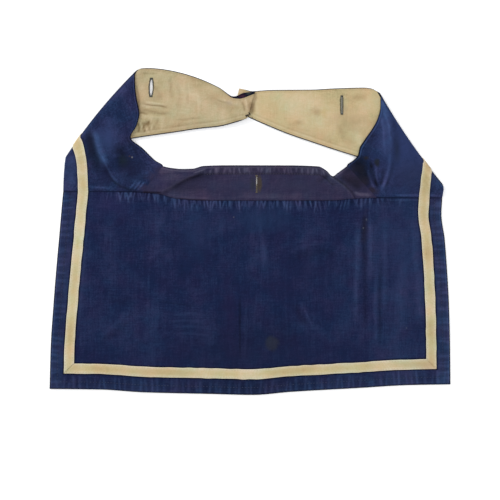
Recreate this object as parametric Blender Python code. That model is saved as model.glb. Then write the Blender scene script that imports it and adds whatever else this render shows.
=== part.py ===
"""Sailor collar of blue cotton, lying flat on a table with both fronts folded under at the shoulders.

Lengths are in millimetres as the collar lies: X to the right, Y from the hem towards the neck,
Z up from the table. Each piece of cloth is one closed wall, and MM turns its points into metres.
"""

from collections import namedtuple

import bpy
import numpy as np
from mathutils import Vector
from mathutils.geometry import delaunay_2d_cdt

MM = 0.001

# Cloth: the blue is two turned layers sewn as one, the lining and the tape are single.
CLOTH = 1.2
LINING = 1.0
TAPE = 1.0
GAP = 0.3
# How high a front's under layer lies: on the tape that goes round the fold with it, and, at the
# tip, on the other front and its lining.
OVER_TAPE = TAPE + GAP
OVER_TIP = CLOTH + GAP + LINING + GAP

# The flap that hangs down the back when the collar is worn.
FlapSide = namedtuple("FlapSide", "drop left_x right_x")
FLAP_SIDES = [
    FlapSide(0.00, -187.0, 192.5),
    FlapSide(0.09, -188.6, 191.6),
    FlapSide(0.22, -190.8, 194.8),
    FlapSide(0.40, -194.0, 197.4),
    FlapSide(0.58, -196.8, 199.2),
    FlapSide(0.78, -199.4, 200.2),
    FlapSide(1.00, -200.6, 200.6),
]
EdgePoint = namedtuple("EdgePoint", "x y")
YOKE_SEAM = [
    EdgePoint(-187.0, 40.5),
    EdgePoint(-120.0, 40.0),
    EdgePoint(-92.0, 38.2),
    EdgePoint(-74.0, 33.6),
    EdgePoint(-44.0, 31.6),
    EdgePoint(82.0, 31.6),
    EdgePoint(104.0, 33.4),
    EdgePoint(126.0, 34.2),
    EdgePoint(192.5, 34.0),
]
HEM = [
    EdgePoint(-200.6, -157.6),
    EdgePoint(-150.0, -158.2),
    EdgePoint(-106.0, -161.0),
    EdgePoint(-40.0, -162.6),
    EdgePoint(3.0, -163.6),
    EdgePoint(40.0, -160.6),
    EdgePoint(110.0, -156.6),
    EdgePoint(158.0, -153.8),
    EdgePoint(200.6, -153.0),
]

# The cream tape, and the turned hem that it covers.
TAPE_WIDTH = 10.0
SIDE_MARGIN = 14.0
HEM_MARGIN = 15.8
HEM_RISE = 0.5
HEM_FADE = 3.0

# Small waves: the flap is gathered into the yoke seam, and its hems are drawn up by their stitches.
Waves = namedtuple("Waves", "pitch height reach drift")
GATHERS = Waves(pitch=5.2, height=0.9, reach=11.0, drift=1.3)
GATHERS_FROM, GATHERS_TO = -134.0, 130.0
HEM_PUCKERS = Waves(pitch=9.0, height=0.5, reach=12.6, drift=1.9)
NECK_PUCKERS = Waves(pitch=6.6, height=0.35, reach=5.4, drift=1.1)
# The waves come and go over this length at their ends. They vary slowly: the length of each of
# the swings, and how much of the full height every wave keeps.
WAVES_FADE = 12.0
LONG_DRIFT, SHORT_DRIFT, HEIGHT_DRIFT = 23.0, 9.7, 14.3
SHORT_DRIFT_SHARE = 0.6
LEAST_HEIGHT = 0.7
# The share of its reach in which a wave rises from the stitches.
RISE_SHARE = 0.3

# The flap's largest soft creases, each from one end to the other, with its half width.
Crease = namedtuple("Crease", "x0 y0 x1 y1 width height")
CREASE_TAPER = 0.3
FLAP_CREASES = [
    Crease(104.0, 18.0, 101.0, -104.0, 9.0, 0.7),
    Crease(127.0, 22.0, 124.0, -120.0, 10.0, 0.9),
    Crease(2.0, 12.0, 5.0, -50.0, 12.0, 0.6),
    Crease(-52.0, 8.0, -60.0, -60.0, 14.0, 0.6),
    Crease(-120.0, -20.0, -95.0, -110.0, 15.0, 0.6),
    Crease(-160.0, 10.0, -166.0, -90.0, 9.0, 0.5),
    Crease(48.0, -70.0, 60.0, -112.0, 13.0, 0.6),
    Crease(-20.0, -85.0, -70.0, -98.0, 12.0, 0.5),
]

# The yoke: the neck edge at the back, between the two fronts, with a tuck at each end.
NECK_EDGE = [
    EdgePoint(-87.0, 65.2),
    EdgePoint(-79.0, 63.6),
    EdgePoint(-68.0, 62.6),
    EdgePoint(-58.0, 62.8),
    EdgePoint(-46.0, 65.7),
    EdgePoint(-25.0, 66.3),
    EdgePoint(40.0, 66.2),
    EdgePoint(68.0, 65.2),
    EdgePoint(76.0, 61.4),
    EdgePoint(83.0, 55.4),
    EdgePoint(88.0, 58.8),
    EdgePoint(96.8, 65.2),
]
LEFT_TUCK = [
    EdgePoint(-88.0, 38.8),
    EdgePoint(-77.0, 44.2),
    EdgePoint(-66.0, 51.0),
    EdgePoint(-46.0, 59.6),
]
RIGHT_TUCK = [
    EdgePoint(82.4, 54.4),
    EdgePoint(95.0, 45.4),
    EdgePoint(102.0, 38.2),
    EdgePoint(103.6, 34.4),
]
YOKE_LEFT_X, YOKE_RIGHT_X = -107.0, 126.0
NECK_BAND = 5.4
NECK_BAND_RISE = 0.35
# A tuck rises by this much, over this distance from the seam, and turns over at its edge.
TUCK_RISE = 1.7
TUCK_EASE = 26.0
TUCK_ROLL = 0.8
# The left tuck dies away between these two places, and the cloth before the right one climbs
# between these, to a share of the tuck's own rise.
LEFT_TUCK_FADES = (-42.0, -30.0)
RIGHT_TUCK_STARTS = (52.0, 82.0)
BEFORE_RIGHT_TUCK = 0.75
PAST_RIGHT_TUCK = 14.0
# The neck band is flat this near to the left and the right tuck, so that it has puckers from here
# to there along the neck edge.
BAND_CLEAR_LEFT, BAND_CLEAR_RIGHT = 5.0, 8.0
PUCKERED_FROM, PUCKERED_TO = -52.0, 70.0

# A front's upper layer, from the yoke seam to the fold, blue side up.
Over = namedtuple("Over", "outer_x outer_y neck_x neck_y outer_z mid_z neck_z")
LEFT_OVER = [
    Over(-187.0, 40.5, -107.0, 39.2, 1.2, 1.2, 1.2),
    Over(-186.8, 47.5, -97.0, 52.2, 1.6, 2.6, 2.4),
    Over(-186.4, 53.5, -87.0, 65.2, 2.3, 4.0, 2.9),
    Over(-186.0, 58.5, -95.0, 71.2, 3.1, 4.9, 3.9),
    Over(-185.6, 61.8, -107.0, 83.0, 3.9, 6.2, 5.0),
    Over(-185.3, 64.2, -119.0, 94.0, 4.6, 7.0, 6.1),
    Over(-185.1, 66.2, -112.6, 106.5, 5.0, 7.6, 6.0),
    Over(-184.9, 67.8, -110.2, 118.0, 5.3, 7.5, 5.8),
    Over(-184.7, 69.0, -112.6, 131.0, 5.5, 6.9, 5.7),
    Over(-184.5, 70.0, -114.4, 144.0, 5.5, 6.2, 5.6),
]
RIGHT_OVER = [
    Over(192.5, 34.0, 126.0, 34.2, 1.2, 1.2, 1.2),
    Over(192.6, 35.0, 111.4, 49.7, 1.7, 2.8, 2.4),
    Over(192.7, 36.0, 96.8, 65.2, 2.2, 4.2, 2.9),
    Over(192.8, 36.9, 103.0, 71.0, 2.8, 5.4, 4.2),
    Over(192.9, 37.8, 107.6, 76.0, 3.4, 6.6, 5.6),
    Over(193.0, 38.7, 109.2, 83.0, 4.0, 7.4, 6.0),
    Over(193.0, 39.5, 115.0, 92.5, 4.6, 7.8, 6.0),
    Over(193.1, 40.2, 122.0, 102.5, 5.1, 7.6, 5.8),
    Over(193.1, 40.9, 127.0, 112.0, 5.4, 6.9, 5.7),
    Over(193.2, 41.5, 130.0, 123.0, 5.5, 6.2, 5.6),
]
# The sections up to this one end at the seam with the yoke, and the rest at the neck edge.
JOINT_ROWS = 2

# The fold at the shoulder: its two ends, its bow outwards, the height of its upper face, and how
# far the cloth has slanted along it, at each end, by the time that it has turned a quarter.
Fold = namedtuple("Fold", "outer_x outer_y neck_x neck_y bow top_z outer_slant neck_slant")
LEFT_FOLD = Fold(-183.5, 75.2, -113.6, 160.8, 3.0, 5.5, 4.0, 4.5)
RIGHT_FOLD = Fold(192.0, 47.9, 129.6, 138.6, -2.4, 5.5, 5.3, 4.3)

# A front's under layer, from the fold to its tip, lining side up: the height of its lower face at
# both edges, and how much of the neck edge the lining leaves bare.
Under = namedtuple("Under", "outer_x outer_y neck_x neck_y outer_z neck_z bare")
LEFT_UNDER = [
    Under(-160.0, 82.0, -107.8, 163.2, OVER_TAPE, OVER_TAPE, 0.8),
    Under(-138.0, 87.6, -104.8, 163.5, OVER_TAPE, 0.9, 0.8),
    Under(-119.0, 92.6, -99.0, 163.6, OVER_TAPE, 0.0, 0.8),
    Under(-100.0, 95.6, -86.0, 162.3, OVER_TAPE, 0.0, 0.8),
    Under(-76.0, 99.0, -68.0, 158.6, OVER_TAPE, 0.0, 0.8),
    Under(-52.0, 102.6, -50.0, 152.8, OVER_TAPE, 0.0, 0.8),
    Under(-30.0, 105.0, -31.0, 144.0, 1.7, 1.0, 0.8),
    Under(-17.0, 108.2, -16.5, 134.8, OVER_TIP, OVER_TIP, 1.8),
    Under(-8.0, 111.0, -6.0, 138.4, OVER_TIP, OVER_TIP, 5.6),
    Under(-2.4, 113.6, 5.2, 139.8, OVER_TIP, OVER_TIP, 3.4),
]
RIGHT_UNDER = [
    Under(170.0, 55.4, 123.4, 142.2, OVER_TAPE, OVER_TAPE, 0.8),
    Under(148.0, 62.0, 119.6, 143.3, OVER_TAPE, 0.9, 0.8),
    Under(126.0, 68.6, 113.0, 144.0, OVER_TAPE, 0.0, 0.8),
    Under(107.0, 74.6, 102.0, 143.8, OVER_TAPE, 0.0, 0.8),
    Under(86.0, 81.2, 84.0, 143.2, OVER_TAPE, 0.0, 0.8),
    Under(62.0, 89.2, 62.0, 142.0, OVER_TAPE, 0.0, 0.8),
    Under(38.0, 97.4, 38.0, 141.8, OVER_TAPE, 0.0, 0.8),
    Under(19.0, 105.2, 19.0, 141.4, OVER_TAPE, 0.6, 0.8),
    Under(4.0, 111.8, 3.0, 140.4, 0.0, 0.0, 0.8),
    Under(-6.0, 116.4, -5.0, 142.0, 0.0, 0.0, 0.8),
    Under(-16.0, 121.4, -10.6, 143.0, 0.0, 0.0, 0.8),
]
# The under layer comes down from the tape to the table this far in from its outer edge.
SETTLE_FROM, SETTLE_TO = 29.0, 47.0

# The fronts' own largest creases.
FRONT_CREASES = [
    Crease(-157.0, 103.0, -130.0, 44.0, 8.0, 1.3),
    Crease(-146.0, 84.0, -112.0, 44.0, 8.0, -0.8),
    Crease(-124.0, 92.0, -126.0, 56.0, 7.0, -0.9),
    Crease(131.0, 128.0, 128.0, 38.0, 8.0, 1.2),
    Crease(149.0, 116.0, 150.0, 64.0, 8.0, -0.9),
    Crease(112.0, 74.0, 124.0, 40.0, 7.0, -0.8),
]
# The lining stops this far inside the outer edge, and short of the tip.
LINING_INSET = 0.8
LINING_END = 0.6

# The tape on a front: how far in from the outer edge it runs, at the seam, the fold and its end.
# It crosses the slanting sections near the fold, and is eased narrower there than a straight cut.
TapeRun = namedtuple("TapeRun", "seam fold end")
LEFT_TAPE = TapeRun(seam=15.0, fold=10.8, end=8.0)
RIGHT_TAPE = TapeRun(seam=13.2, fold=14.4, end=8.6)
TAPE_EASE = 0.6
TAPE_SECTIONS_LEFT_BARE = 7
# The height on the page of the mitred corners' outer points.
MITRE_LEVEL = -134.2

# Buttonholes, cut right through: the middle of each, its length, its gape and its lean.
Buttonhole = namedtuple("Buttonhole", "x y length gape lean")
LEFT_BUTTONHOLE = Buttonhole(-98.8, 144.0, 16.6, 3.0, 0.03)
RIGHT_BUTTONHOLE = Buttonhole(92.0, 126.2, 16.0, 1.4, 0.0)
BACK_BUTTONHOLE = Buttonhole(6.7, 47.6, 15.0, 1.2, 0.0)
CUTTER_HEIGHT = 20.0
CUTTER_STEPS = 8

# How finely the cloth is divided: along its stitched edges, over its plain middle, along its plain
# seams, and in from the edges where there are puckers or gathers.
FINE_STEP, COARSE_STEP, SEAM_STEP, NECK_STEP = 3.0, 8.0, 6.0, 2.0
PUCKER_DEPTHS = (3.0, 7.5, 12.6)
GATHER_DEPTHS = (1.6, 4.0, 7.5, 11.0)
NECK_DEPTHS = (1.7, 3.6, 5.4, 6.6)
FRONT_ACROSS, FRONT_STEPS = 12, 2
BEND_STEPS = 6
TAPE_STEPS, HEM_TAPE_STEPS = 22, 46
TAPE_THIRDS = TAPE_WIDTH * np.array([0.0, 0.5, 1.0])
# A point this near to a limit still counts as inside it.
SLACK = 0.1
# Near the flap's sides, where their exact places are looked up.
FLAP_HALF_WIDTH = 195.0
FLAP_SIDE_SIGNS = (("left_x", -1.0), ("right_x", 1.0))
# Where two pieces meet along a slanting joint, the gap is this wide along the seam.
JOINT_GAP = 1.3 * GAP

INDIGO = (0.018, 0.028, 0.115)
FADED_INDIGO = (0.045, 0.035, 0.10)
LINEN = (0.50, 0.40, 0.24)
CREAM = (0.62, 0.53, 0.33)


def through(knots, values, at):
    """A smooth curve through the values at the knots, which never overshoots them."""
    knots, values, at = (np.asarray(x, float) for x in (knots, values, at))
    steps = np.diff(knots)
    slopes = np.diff(values) / steps
    tangents = np.empty(len(knots))
    tangents[0], tangents[-1] = slopes[0], slopes[-1]
    before, after = slopes[:-1], slopes[1:]
    same_way = before * after > 0
    total = np.where(same_way, before + after, 1.0)
    tangents[1:-1] = np.where(same_way, 2 * before * after / total, 0.0)
    i = np.clip(np.searchsorted(knots, at) - 1, 0, len(steps) - 1)
    t = (at - knots[i]) / steps[i]
    start = (1 + 2 * t) * (1 - t) ** 2 * values[i] + t * (1 - t) ** 2 * steps[i] * tangents[i]
    end = t * t * (3 - 2 * t) * values[i + 1] - t * t * (1 - t) * steps[i] * tangents[i + 1]
    return start + end


def edge_y(edge, x):
    """The height on the page of an edge that is given from left to right."""
    return through([p.x for p in edge], [p.y for p in edge], x)


def rows_between(table, steps):
    """A table's sections, with steps - 1 smooth ones added between each two of them."""
    count = len(table)
    at = np.linspace(0, count - 1, (count - 1) * steps + 1)
    columns = [through(np.arange(count), column, at) for column in zip(*table)]
    return [type(table[0])(*row) for row in zip(*columns)]


def ease(t):
    """0 below 0, 1 above 1, and smooth between."""
    t = np.clip(t, 0, 1)
    return t * t * (3 - 2 * t)


def spread(start, end, step):
    """Places from start to end, both included, about a step apart."""
    return np.linspace(start, end, round(abs(end - start) / step) + 1)


def side_x(side, x, y):
    """Where the flap's left_x or right_x side lies, level with a point on the flap."""
    top, bottom = edge_y(YOKE_SEAM, x), edge_y(HEM, x)
    drop = np.clip((top - y) / (top - bottom), 0, 1)
    return through([s.drop for s in FLAP_SIDES], [getattr(s, side) for s in FLAP_SIDES], drop)


def wave(waves, along):
    """The uneven height of a row of small waves, at places along it."""
    phase = 2 * np.pi * along / waves.pitch
    swing = np.sin(along / LONG_DRIFT) + SHORT_DRIFT_SHARE * np.sin(along / SHORT_DRIFT)
    phase = phase + waves.drift * swing
    strength = LEAST_HEIGHT + (1 - LEAST_HEIGHT) * np.sin(along / HEIGHT_DRIFT)
    return waves.height * strength * (0.5 + 0.5 * np.cos(phase))


def swell(waves, depth):
    """How the waves rise from the stitched edge and fade at their reach."""
    rise = RISE_SHARE * waves.reach
    return ease(depth / rise) * ease((waves.reach - depth) / (waves.reach - rise))


def crease_height(creases, x, y):
    """The rise of all soft creases at a point, each a rounded ridge with tapering ends."""
    total = 0.0
    for c in creases:
        run = np.array([c.x1 - c.x0, c.y1 - c.y0])
        length = np.hypot(*run)
        run = run / length
        along = (x - c.x0) * run[0] + (y - c.y0) * run[1]
        across = (x - c.x0) * run[1] - (y - c.y0) * run[0]
        taper = ease(along / (CREASE_TAPER * length)) * ease((length - along) / (CREASE_TAPER * length))
        total = total + c.height * taper * np.exp(-((across / c.width) ** 2))
    return total


def flap_height(x, y):
    """The upper face of the flap: turned hems, gathers below the seam, puckers and creases."""
    below_seam = edge_y(YOKE_SEAM, x) - y
    from_hem = y - edge_y(HEM, x)
    from_side = np.minimum(x - side_x("left_x", x, y), side_x("right_x", x, y) - x)
    on_hem = ease((HEM_MARGIN + TAPE_WIDTH + HEM_FADE - from_hem) / HEM_FADE)
    on_side = ease((SIDE_MARGIN + TAPE_WIDTH + HEM_FADE - from_side) / HEM_FADE)
    free_of_seam = ease(below_seam / WAVES_FADE)
    turned = HEM_RISE * np.maximum(on_hem, on_side) * free_of_seam
    ends = ease((x - GATHERS_FROM) / WAVES_FADE) * ease((GATHERS_TO - x) / WAVES_FADE)
    gathers = wave(GATHERS, x) * swell(GATHERS, below_seam) * ends
    hem_puckers = wave(HEM_PUCKERS, x) * swell(HEM_PUCKERS, from_hem) * ease(from_side / WAVES_FADE)
    side_puckers = wave(HEM_PUCKERS, y) * swell(HEM_PUCKERS, from_side) * ease(from_hem / WAVES_FADE)
    waves = gathers + hem_puckers + side_puckers * free_of_seam
    return CLOTH + turned + waves + crease_height(FLAP_CREASES, x, y)


def past_line(line, x, y):
    """How far a point lies to the left of a line of points. It is negative on the right."""
    nearest = np.full(np.shape(x), np.inf)
    signed = np.zeros(np.shape(x))
    for start, end in zip(line, line[1:]):
        run = np.array(end) - start
        length = np.hypot(*run)
        along = ((x - start.x) * run[0] + (y - start.y) * run[1]) / length
        across = ((y - start.y) * run[0] - (x - start.x) * run[1]) / length
        distance = np.hypot(across, along - np.clip(along, 0, length))
        closer = distance < nearest
        nearest = np.where(closer, distance, nearest)
        signed = np.where(closer, np.copysign(distance, across), signed)
    return signed


def yoke_height(x, y):
    """The upper face of the yoke: a stitched neck band, with a tuck near each end.

    The left tuck lies on the middle of the yoke, and the middle lies on the right one.
    """
    above_seam = y - edge_y(YOKE_SEAM, x)
    below_neck = edge_y(NECK_EDGE, x) - y
    left = past_line(LEFT_TUCK, x, y)
    right = past_line(RIGHT_TUCK, x, y)
    climb = 1 - (1 - np.clip(above_seam / TUCK_EASE, 0, 1)) ** 2
    left_start, left_end = LEFT_TUCK_FADES
    right_start, right_end = RIGHT_TUCK_STARTS
    on_left = ease(left / TUCK_ROLL) * ease((left_end - x) / (left_end - left_start))
    before_right = ease(-right / TUCK_ROLL) * ease((x - right_start) / (right_end - right_start))
    past_right = ease((right - TUCK_ROLL) / PAST_RIGHT_TUCK)
    tuck = TUCK_RISE * climb * (on_left + BEFORE_RIGHT_TUCK * before_right + past_right)
    middle = ease(-left / BAND_CLEAR_LEFT) * ease(-right / BAND_CLEAR_RIGHT)
    band = NECK_BAND_RISE * ease(NECK_BAND + 1.0 - below_neck)
    puckers = wave(NECK_PUCKERS, x) * swell(NECK_PUCKERS, below_neck)
    return CLOTH + tuck + middle * (band + puckers)


def material(name, colour, roughness):
    """A plain cloth finish."""
    made = bpy.data.materials.new(name)
    made.use_nodes = True
    shader = made.node_tree.nodes["Principled BSDF"]
    shader.inputs["Base Color"].default_value = (*colour, 1.0)
    shader.inputs["Roughness"].default_value = roughness
    shader.inputs["Metallic"].default_value = 0.0
    return made


def add_piece(name, points, faces, finish):
    """One piece of cloth, from points in millimetres."""
    mesh = bpy.data.meshes.new(name)
    mesh.from_pydata([tuple(MM * float(c) for c in p) for p in points], [], faces)
    mesh.validate()
    mesh.materials.append(finish)
    mesh.shade_smooth()
    mesh.set_sharp_from_angle(angle=np.radians(40))
    piece = bpy.data.objects.new(name, mesh)
    bpy.context.scene.collection.objects.link(piece)
    return piece


def laid_piece(name, outline, inner, height, finish, folds=()):
    """A piece that rests on the table: a flat underside, and an upper face that follows height(x, y).

    The outline runs anticlockwise. Each fold is a line of points that the upper face keeps.
    """
    flat = [Vector(p) for p in outline] + [Vector(p) for p in inner]
    edges = [(i, (i + 1) % len(outline)) for i in range(len(outline))]
    for fold in folds:
        first = len(flat)
        flat += [Vector(p) for p in fold]
        edges += [(i, i + 1) for i in range(first, len(flat) - 1)]
    found, _, faces, _, _, _ = delaunay_2d_cdt(flat, edges, [], 1, 1e-4)
    xy = np.array([tuple(p) for p in found])
    top = np.column_stack([xy, height(xy[:, 0], xy[:, 1])])
    rim = range(len(outline))
    under = np.column_stack([xy[: len(outline)], np.zeros(len(outline))])
    first = len(top)
    sides = [(i, first + i, first + (i + 1) % len(outline), (i + 1) % len(outline)) for i in rim]
    floor = [tuple(first + i for i in reversed(rim))]
    return add_piece(name, np.vstack([top, under]), [tuple(f) for f in faces] + sides + floor, finish)


def wall(name, outside, normals, thickness, turned, finish):
    """A closed wall of cloth behind a grid of points on its outside face.

    turned is 1 where the grid's rows and columns run anticlockwise seen from outside, or else -1.
    """
    rows, columns, _ = outside.shape
    inside = outside - thickness * normals
    points = np.vstack([outside.reshape(-1, 3), inside.reshape(-1, 3)])

    def at(layer, i, j):
        return layer * rows * columns + i * columns + j

    faces = []
    for i in range(rows - 1):
        for j in range(columns - 1):
            faces.append((at(0, i, j), at(0, i, j + 1), at(0, i + 1, j + 1), at(0, i + 1, j)))
            faces.append((at(1, i, j), at(1, i + 1, j), at(1, i + 1, j + 1), at(1, i, j + 1)))
    rim = [(i, 0) for i in range(rows)] + [(rows - 1, j) for j in range(1, columns)]
    rim += [(i, columns - 1) for i in range(rows - 2, -1, -1)] + [(0, j) for j in range(columns - 2, 0, -1)]
    for (i, j), (k, m) in zip(rim, rim[1:] + rim[:1]):
        faces.append((at(0, i, j), at(0, k, m), at(1, k, m), at(1, i, j)))
    if turned < 0:
        faces = [face[::-1] for face in faces]
    return add_piece(name, points, faces, finish)


def place_between(row, t):
    """The point on the page at a share t of the way from a section's outer edge to its neck edge."""
    x = row.outer_x + t * (row.neck_x - row.outer_x)
    y = row.outer_y + t * (row.neck_y - row.outer_y)
    return np.column_stack([x, y])


def front_grid(over, fold, under, across, steps):
    """The blue face of a front, from the yoke seam, round the fold, to the tip.

    It gives the points, the way out of the cloth at each, and the section where the bend starts.
    """
    t = np.linspace(0, 1, across + 1)
    along = np.array([fold.neck_x - fold.outer_x, fold.neck_y - fold.outer_y])
    along = along / np.hypot(*along)
    outward = np.array([along[1], -along[0]]) * np.sign(along[1] * fold.outer_x)
    bow = (fold.bow * 4 * t * (1 - t))[:, None] * outward
    radius = (fold.top_z - (TAPE + GAP)) / 2
    ends = np.array([[fold.outer_x, fold.outer_y], [fold.neck_x, fold.neck_y]]) - radius * outward
    slant = np.array([fold.outer_slant, fold.neck_slant])[:, None] * along
    top_ends, low_ends = (ends - slant).ravel(), (ends + slant).ravel()
    spine = Over(*top_ends, fold.top_z, fold.top_z, fold.top_z)
    grid, facing = [], []

    def add_row(xy, z, way_out):
        grid.append(np.column_stack([xy, z]))
        facing.append(np.tile(way_out, (len(t), 1)))

    joint = JOINT_ROWS * steps
    upper = rows_between(over + [spine], steps)
    for k, row in enumerate(upper[:-1]):
        if k < joint:
            start, end = over[0], over[JOINT_ROWS]
            row = row._replace(
                neck_x=start.neck_x + k / joint * (end.neck_x - start.neck_x),
                neck_y=start.neck_y + k / joint * (end.neck_y - start.neck_y),
            )
        xy = place_between(row, t) + (k / (len(upper) - 1)) ** 4 * bow
        if k == 0:
            xy[:, 1] = edge_y(YOKE_SEAM, xy[:, 0]) + GAP / 2
        middle = 4 * t * (1 - t)
        z = row.outer_z * (1 - t) * (1 - 2 * t) + row.mid_z * middle + row.neck_z * t * (2 * t - 1)
        z = z + crease_height(FRONT_CREASES, xy[:, 0], xy[:, 1]) * middle * ease(k / joint)
        add_row(xy, z, (0.0, 0.0, 1.0))
    for angle in np.linspace(np.pi / 2, -np.pi / 2, BEND_STEPS + 1):
        turned = 0.5 - angle / np.pi
        row_ends = top_ends + turned * (low_ends - top_ends)
        row = spine._replace(**dict(zip(Over._fields, row_ends)))
        xy = place_between(row, t) + bow + radius * np.cos(angle) * outward
        z = np.full(len(t), fold.top_z - radius + radius * np.sin(angle))
        add_row(xy, z, (*(np.cos(angle) * outward), np.sin(angle)))
    last = under[0]._replace(**dict(zip(Under._fields, low_ends)), outer_z=OVER_TAPE, neck_z=OVER_TAPE)
    for k, row in enumerate(rows_between([last] + under, steps)[1:]):
        fade = max(0.0, 1 - (k + 1) / (2 * steps)) ** 2
        xy = place_between(row, t) + fade * bow
        inward = t * np.hypot(row.neck_x - row.outer_x, row.neck_y - row.outer_y)
        settled = ease((inward - SETTLE_FROM) / (SETTLE_TO - SETTLE_FROM))
        add_row(xy, row.outer_z + (row.neck_z - row.outer_z) * settled, (0.0, 0.0, -1.0))
    return np.array(grid), np.array(facing), len(upper) - 1


def point_on_row(row, at):
    """The points of a section at distances along it from its first point."""
    reach = np.concatenate([[0], np.cumsum(np.linalg.norm(np.diff(row[:, :2], axis=0), axis=1))])
    return np.column_stack([np.interp(at, reach, column) for column in row.T])


def lining_grid(front, under, steps):
    """The upper face of a front's lining, from inside the fold to the tip, just inside its edges."""
    grid = front[-len(under) * steps - 1 :]
    lining = []
    for points, row in zip(grid, rows_between([under[0]] + under, steps)):
        length = np.linalg.norm(points[-1, :2] - points[0, :2])
        inside = point_on_row(points, np.linspace(LINING_INSET, length - row.bare, len(points)))
        lining.append(inside + (0, 0, CLOTH + GAP + LINING))
    end = lining[-2] - lining[-1]
    lining[-1] += LINING_END * end / np.linalg.norm(end, axis=1)[:, None]
    return np.array(lining)


def tape_on_front(grid, normals, run, bend, bare):
    """The tape's outside face on a front, and its normals: three points across at each section."""
    rows = len(grid) - bare
    edge = grid[:rows, 0]
    reach = np.concatenate([[0], np.cumsum(np.linalg.norm(np.diff(edge, axis=0), axis=1))])
    heading = np.gradient(edge, reach, axis=0)
    heading = heading / np.linalg.norm(heading, axis=1, keepdims=True)
    across = grid[:rows, -1] - edge
    across = across / np.linalg.norm(across, axis=1, keepdims=True)
    slants = np.linalg.norm(np.cross(across, heading), axis=1)
    slants[:bend] = np.abs(across[:bend, 0])
    round_fold = np.arange(bend - 1, bend + BEND_STEPS + 2)
    slants[round_fold] = np.interp(round_fold, round_fold[[0, -1]], slants[round_fold[[0, -1]]])
    margins = through([0, bend, rows - 1], [run.seam, run.fold, run.end], np.arange(rows))
    points, facing = [], []
    for k in range(rows):
        inward = (margins[k] + TAPE_THIRDS) / slants[k] ** TAPE_EASE
        facing.append(normals[k, :3])
        points.append(point_on_row(grid[k], inward) + (GAP + TAPE) * facing[k])
    return points, facing


def tape_on_side(side, sign, run, steps):
    """The side tape on the flap, from its mitred corner to the yoke seam.

    A point's place along the side and its place across depend on each other, so they are worked
    out together, a few times over.
    """
    points, facing = [], []
    for share in np.arange(steps) / steps:
        margin = run.seam + (SIDE_MARGIN - run.seam) * (1 - ease(share))
        row = []
        for inward in TAPE_THIRDS:
            x = sign * FLAP_HALF_WIDTH
            for _ in range(4):
                bottom = edge_y(HEM, x) + HEM_MARGIN + inward + 0.5 * GAP
                y = bottom + (edge_y(YOKE_SEAM, x) - bottom) * share
                x = side_x(side, x, y) - sign * (margin + inward)
            row.append((x, y, flap_height(x, y) + GAP + TAPE))
        points.append(np.array(row))
        facing.append(np.tile([0.0, 0.0, 1.0], (len(TAPE_THIRDS), 1)))
    return points, facing


def tape_along_hem(steps):
    """The tape above the hem, mitred to the side tapes at both corners."""
    points = []
    for share in np.linspace(0, 1, steps + 1):
        row = []
        for inward in TAPE_THIRDS:
            level = MITRE_LEVEL + inward
            left = side_x("left_x", -FLAP_HALF_WIDTH, level) + SIDE_MARGIN + inward + 0.5 * GAP
            right = side_x("right_x", FLAP_HALF_WIDTH, level) - SIDE_MARGIN - inward - 0.5 * GAP
            x = left + (right - left) * share
            y = edge_y(HEM, x) + HEM_MARGIN + inward
            row.append((x, y, flap_height(x, y) + GAP + TAPE))
        points.append(row)
    return np.array(points)


def cut_buttonhole(hole, *pieces):
    """Cuts a buttonhole, a slit that gapes in the middle, through each of the pieces."""
    turn = np.linspace(0, 2 * np.pi, 2 * CUTTER_STEPS, endpoint=False)
    along = 0.5 * hole.length * np.cos(turn)
    across = 0.5 * hole.gape * np.sin(turn)
    x = hole.x + across + hole.lean * along
    y = hole.y + along
    count = len(turn)
    points = [(x[i], y[i], end * CUTTER_HEIGHT) for end in (-0.5, 0.5) for i in range(count)]
    faces = [tuple(range(count)), tuple(range(2 * count - 1, count - 1, -1))]
    faces += [(i, count + i, count + (i + 1) % count, (i + 1) % count) for i in range(count)]
    cutter = add_piece(pieces[0].name + "_buttonhole", points, faces, pieces[0].data.materials[0])
    cutter.hide_render = True
    cutter.display_type = "WIRE"
    for piece in pieces:
        cut = piece.modifiers.new("Buttonhole", "BOOLEAN")
        cut.operation = "DIFFERENCE"
        cut.object = cutter


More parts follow.
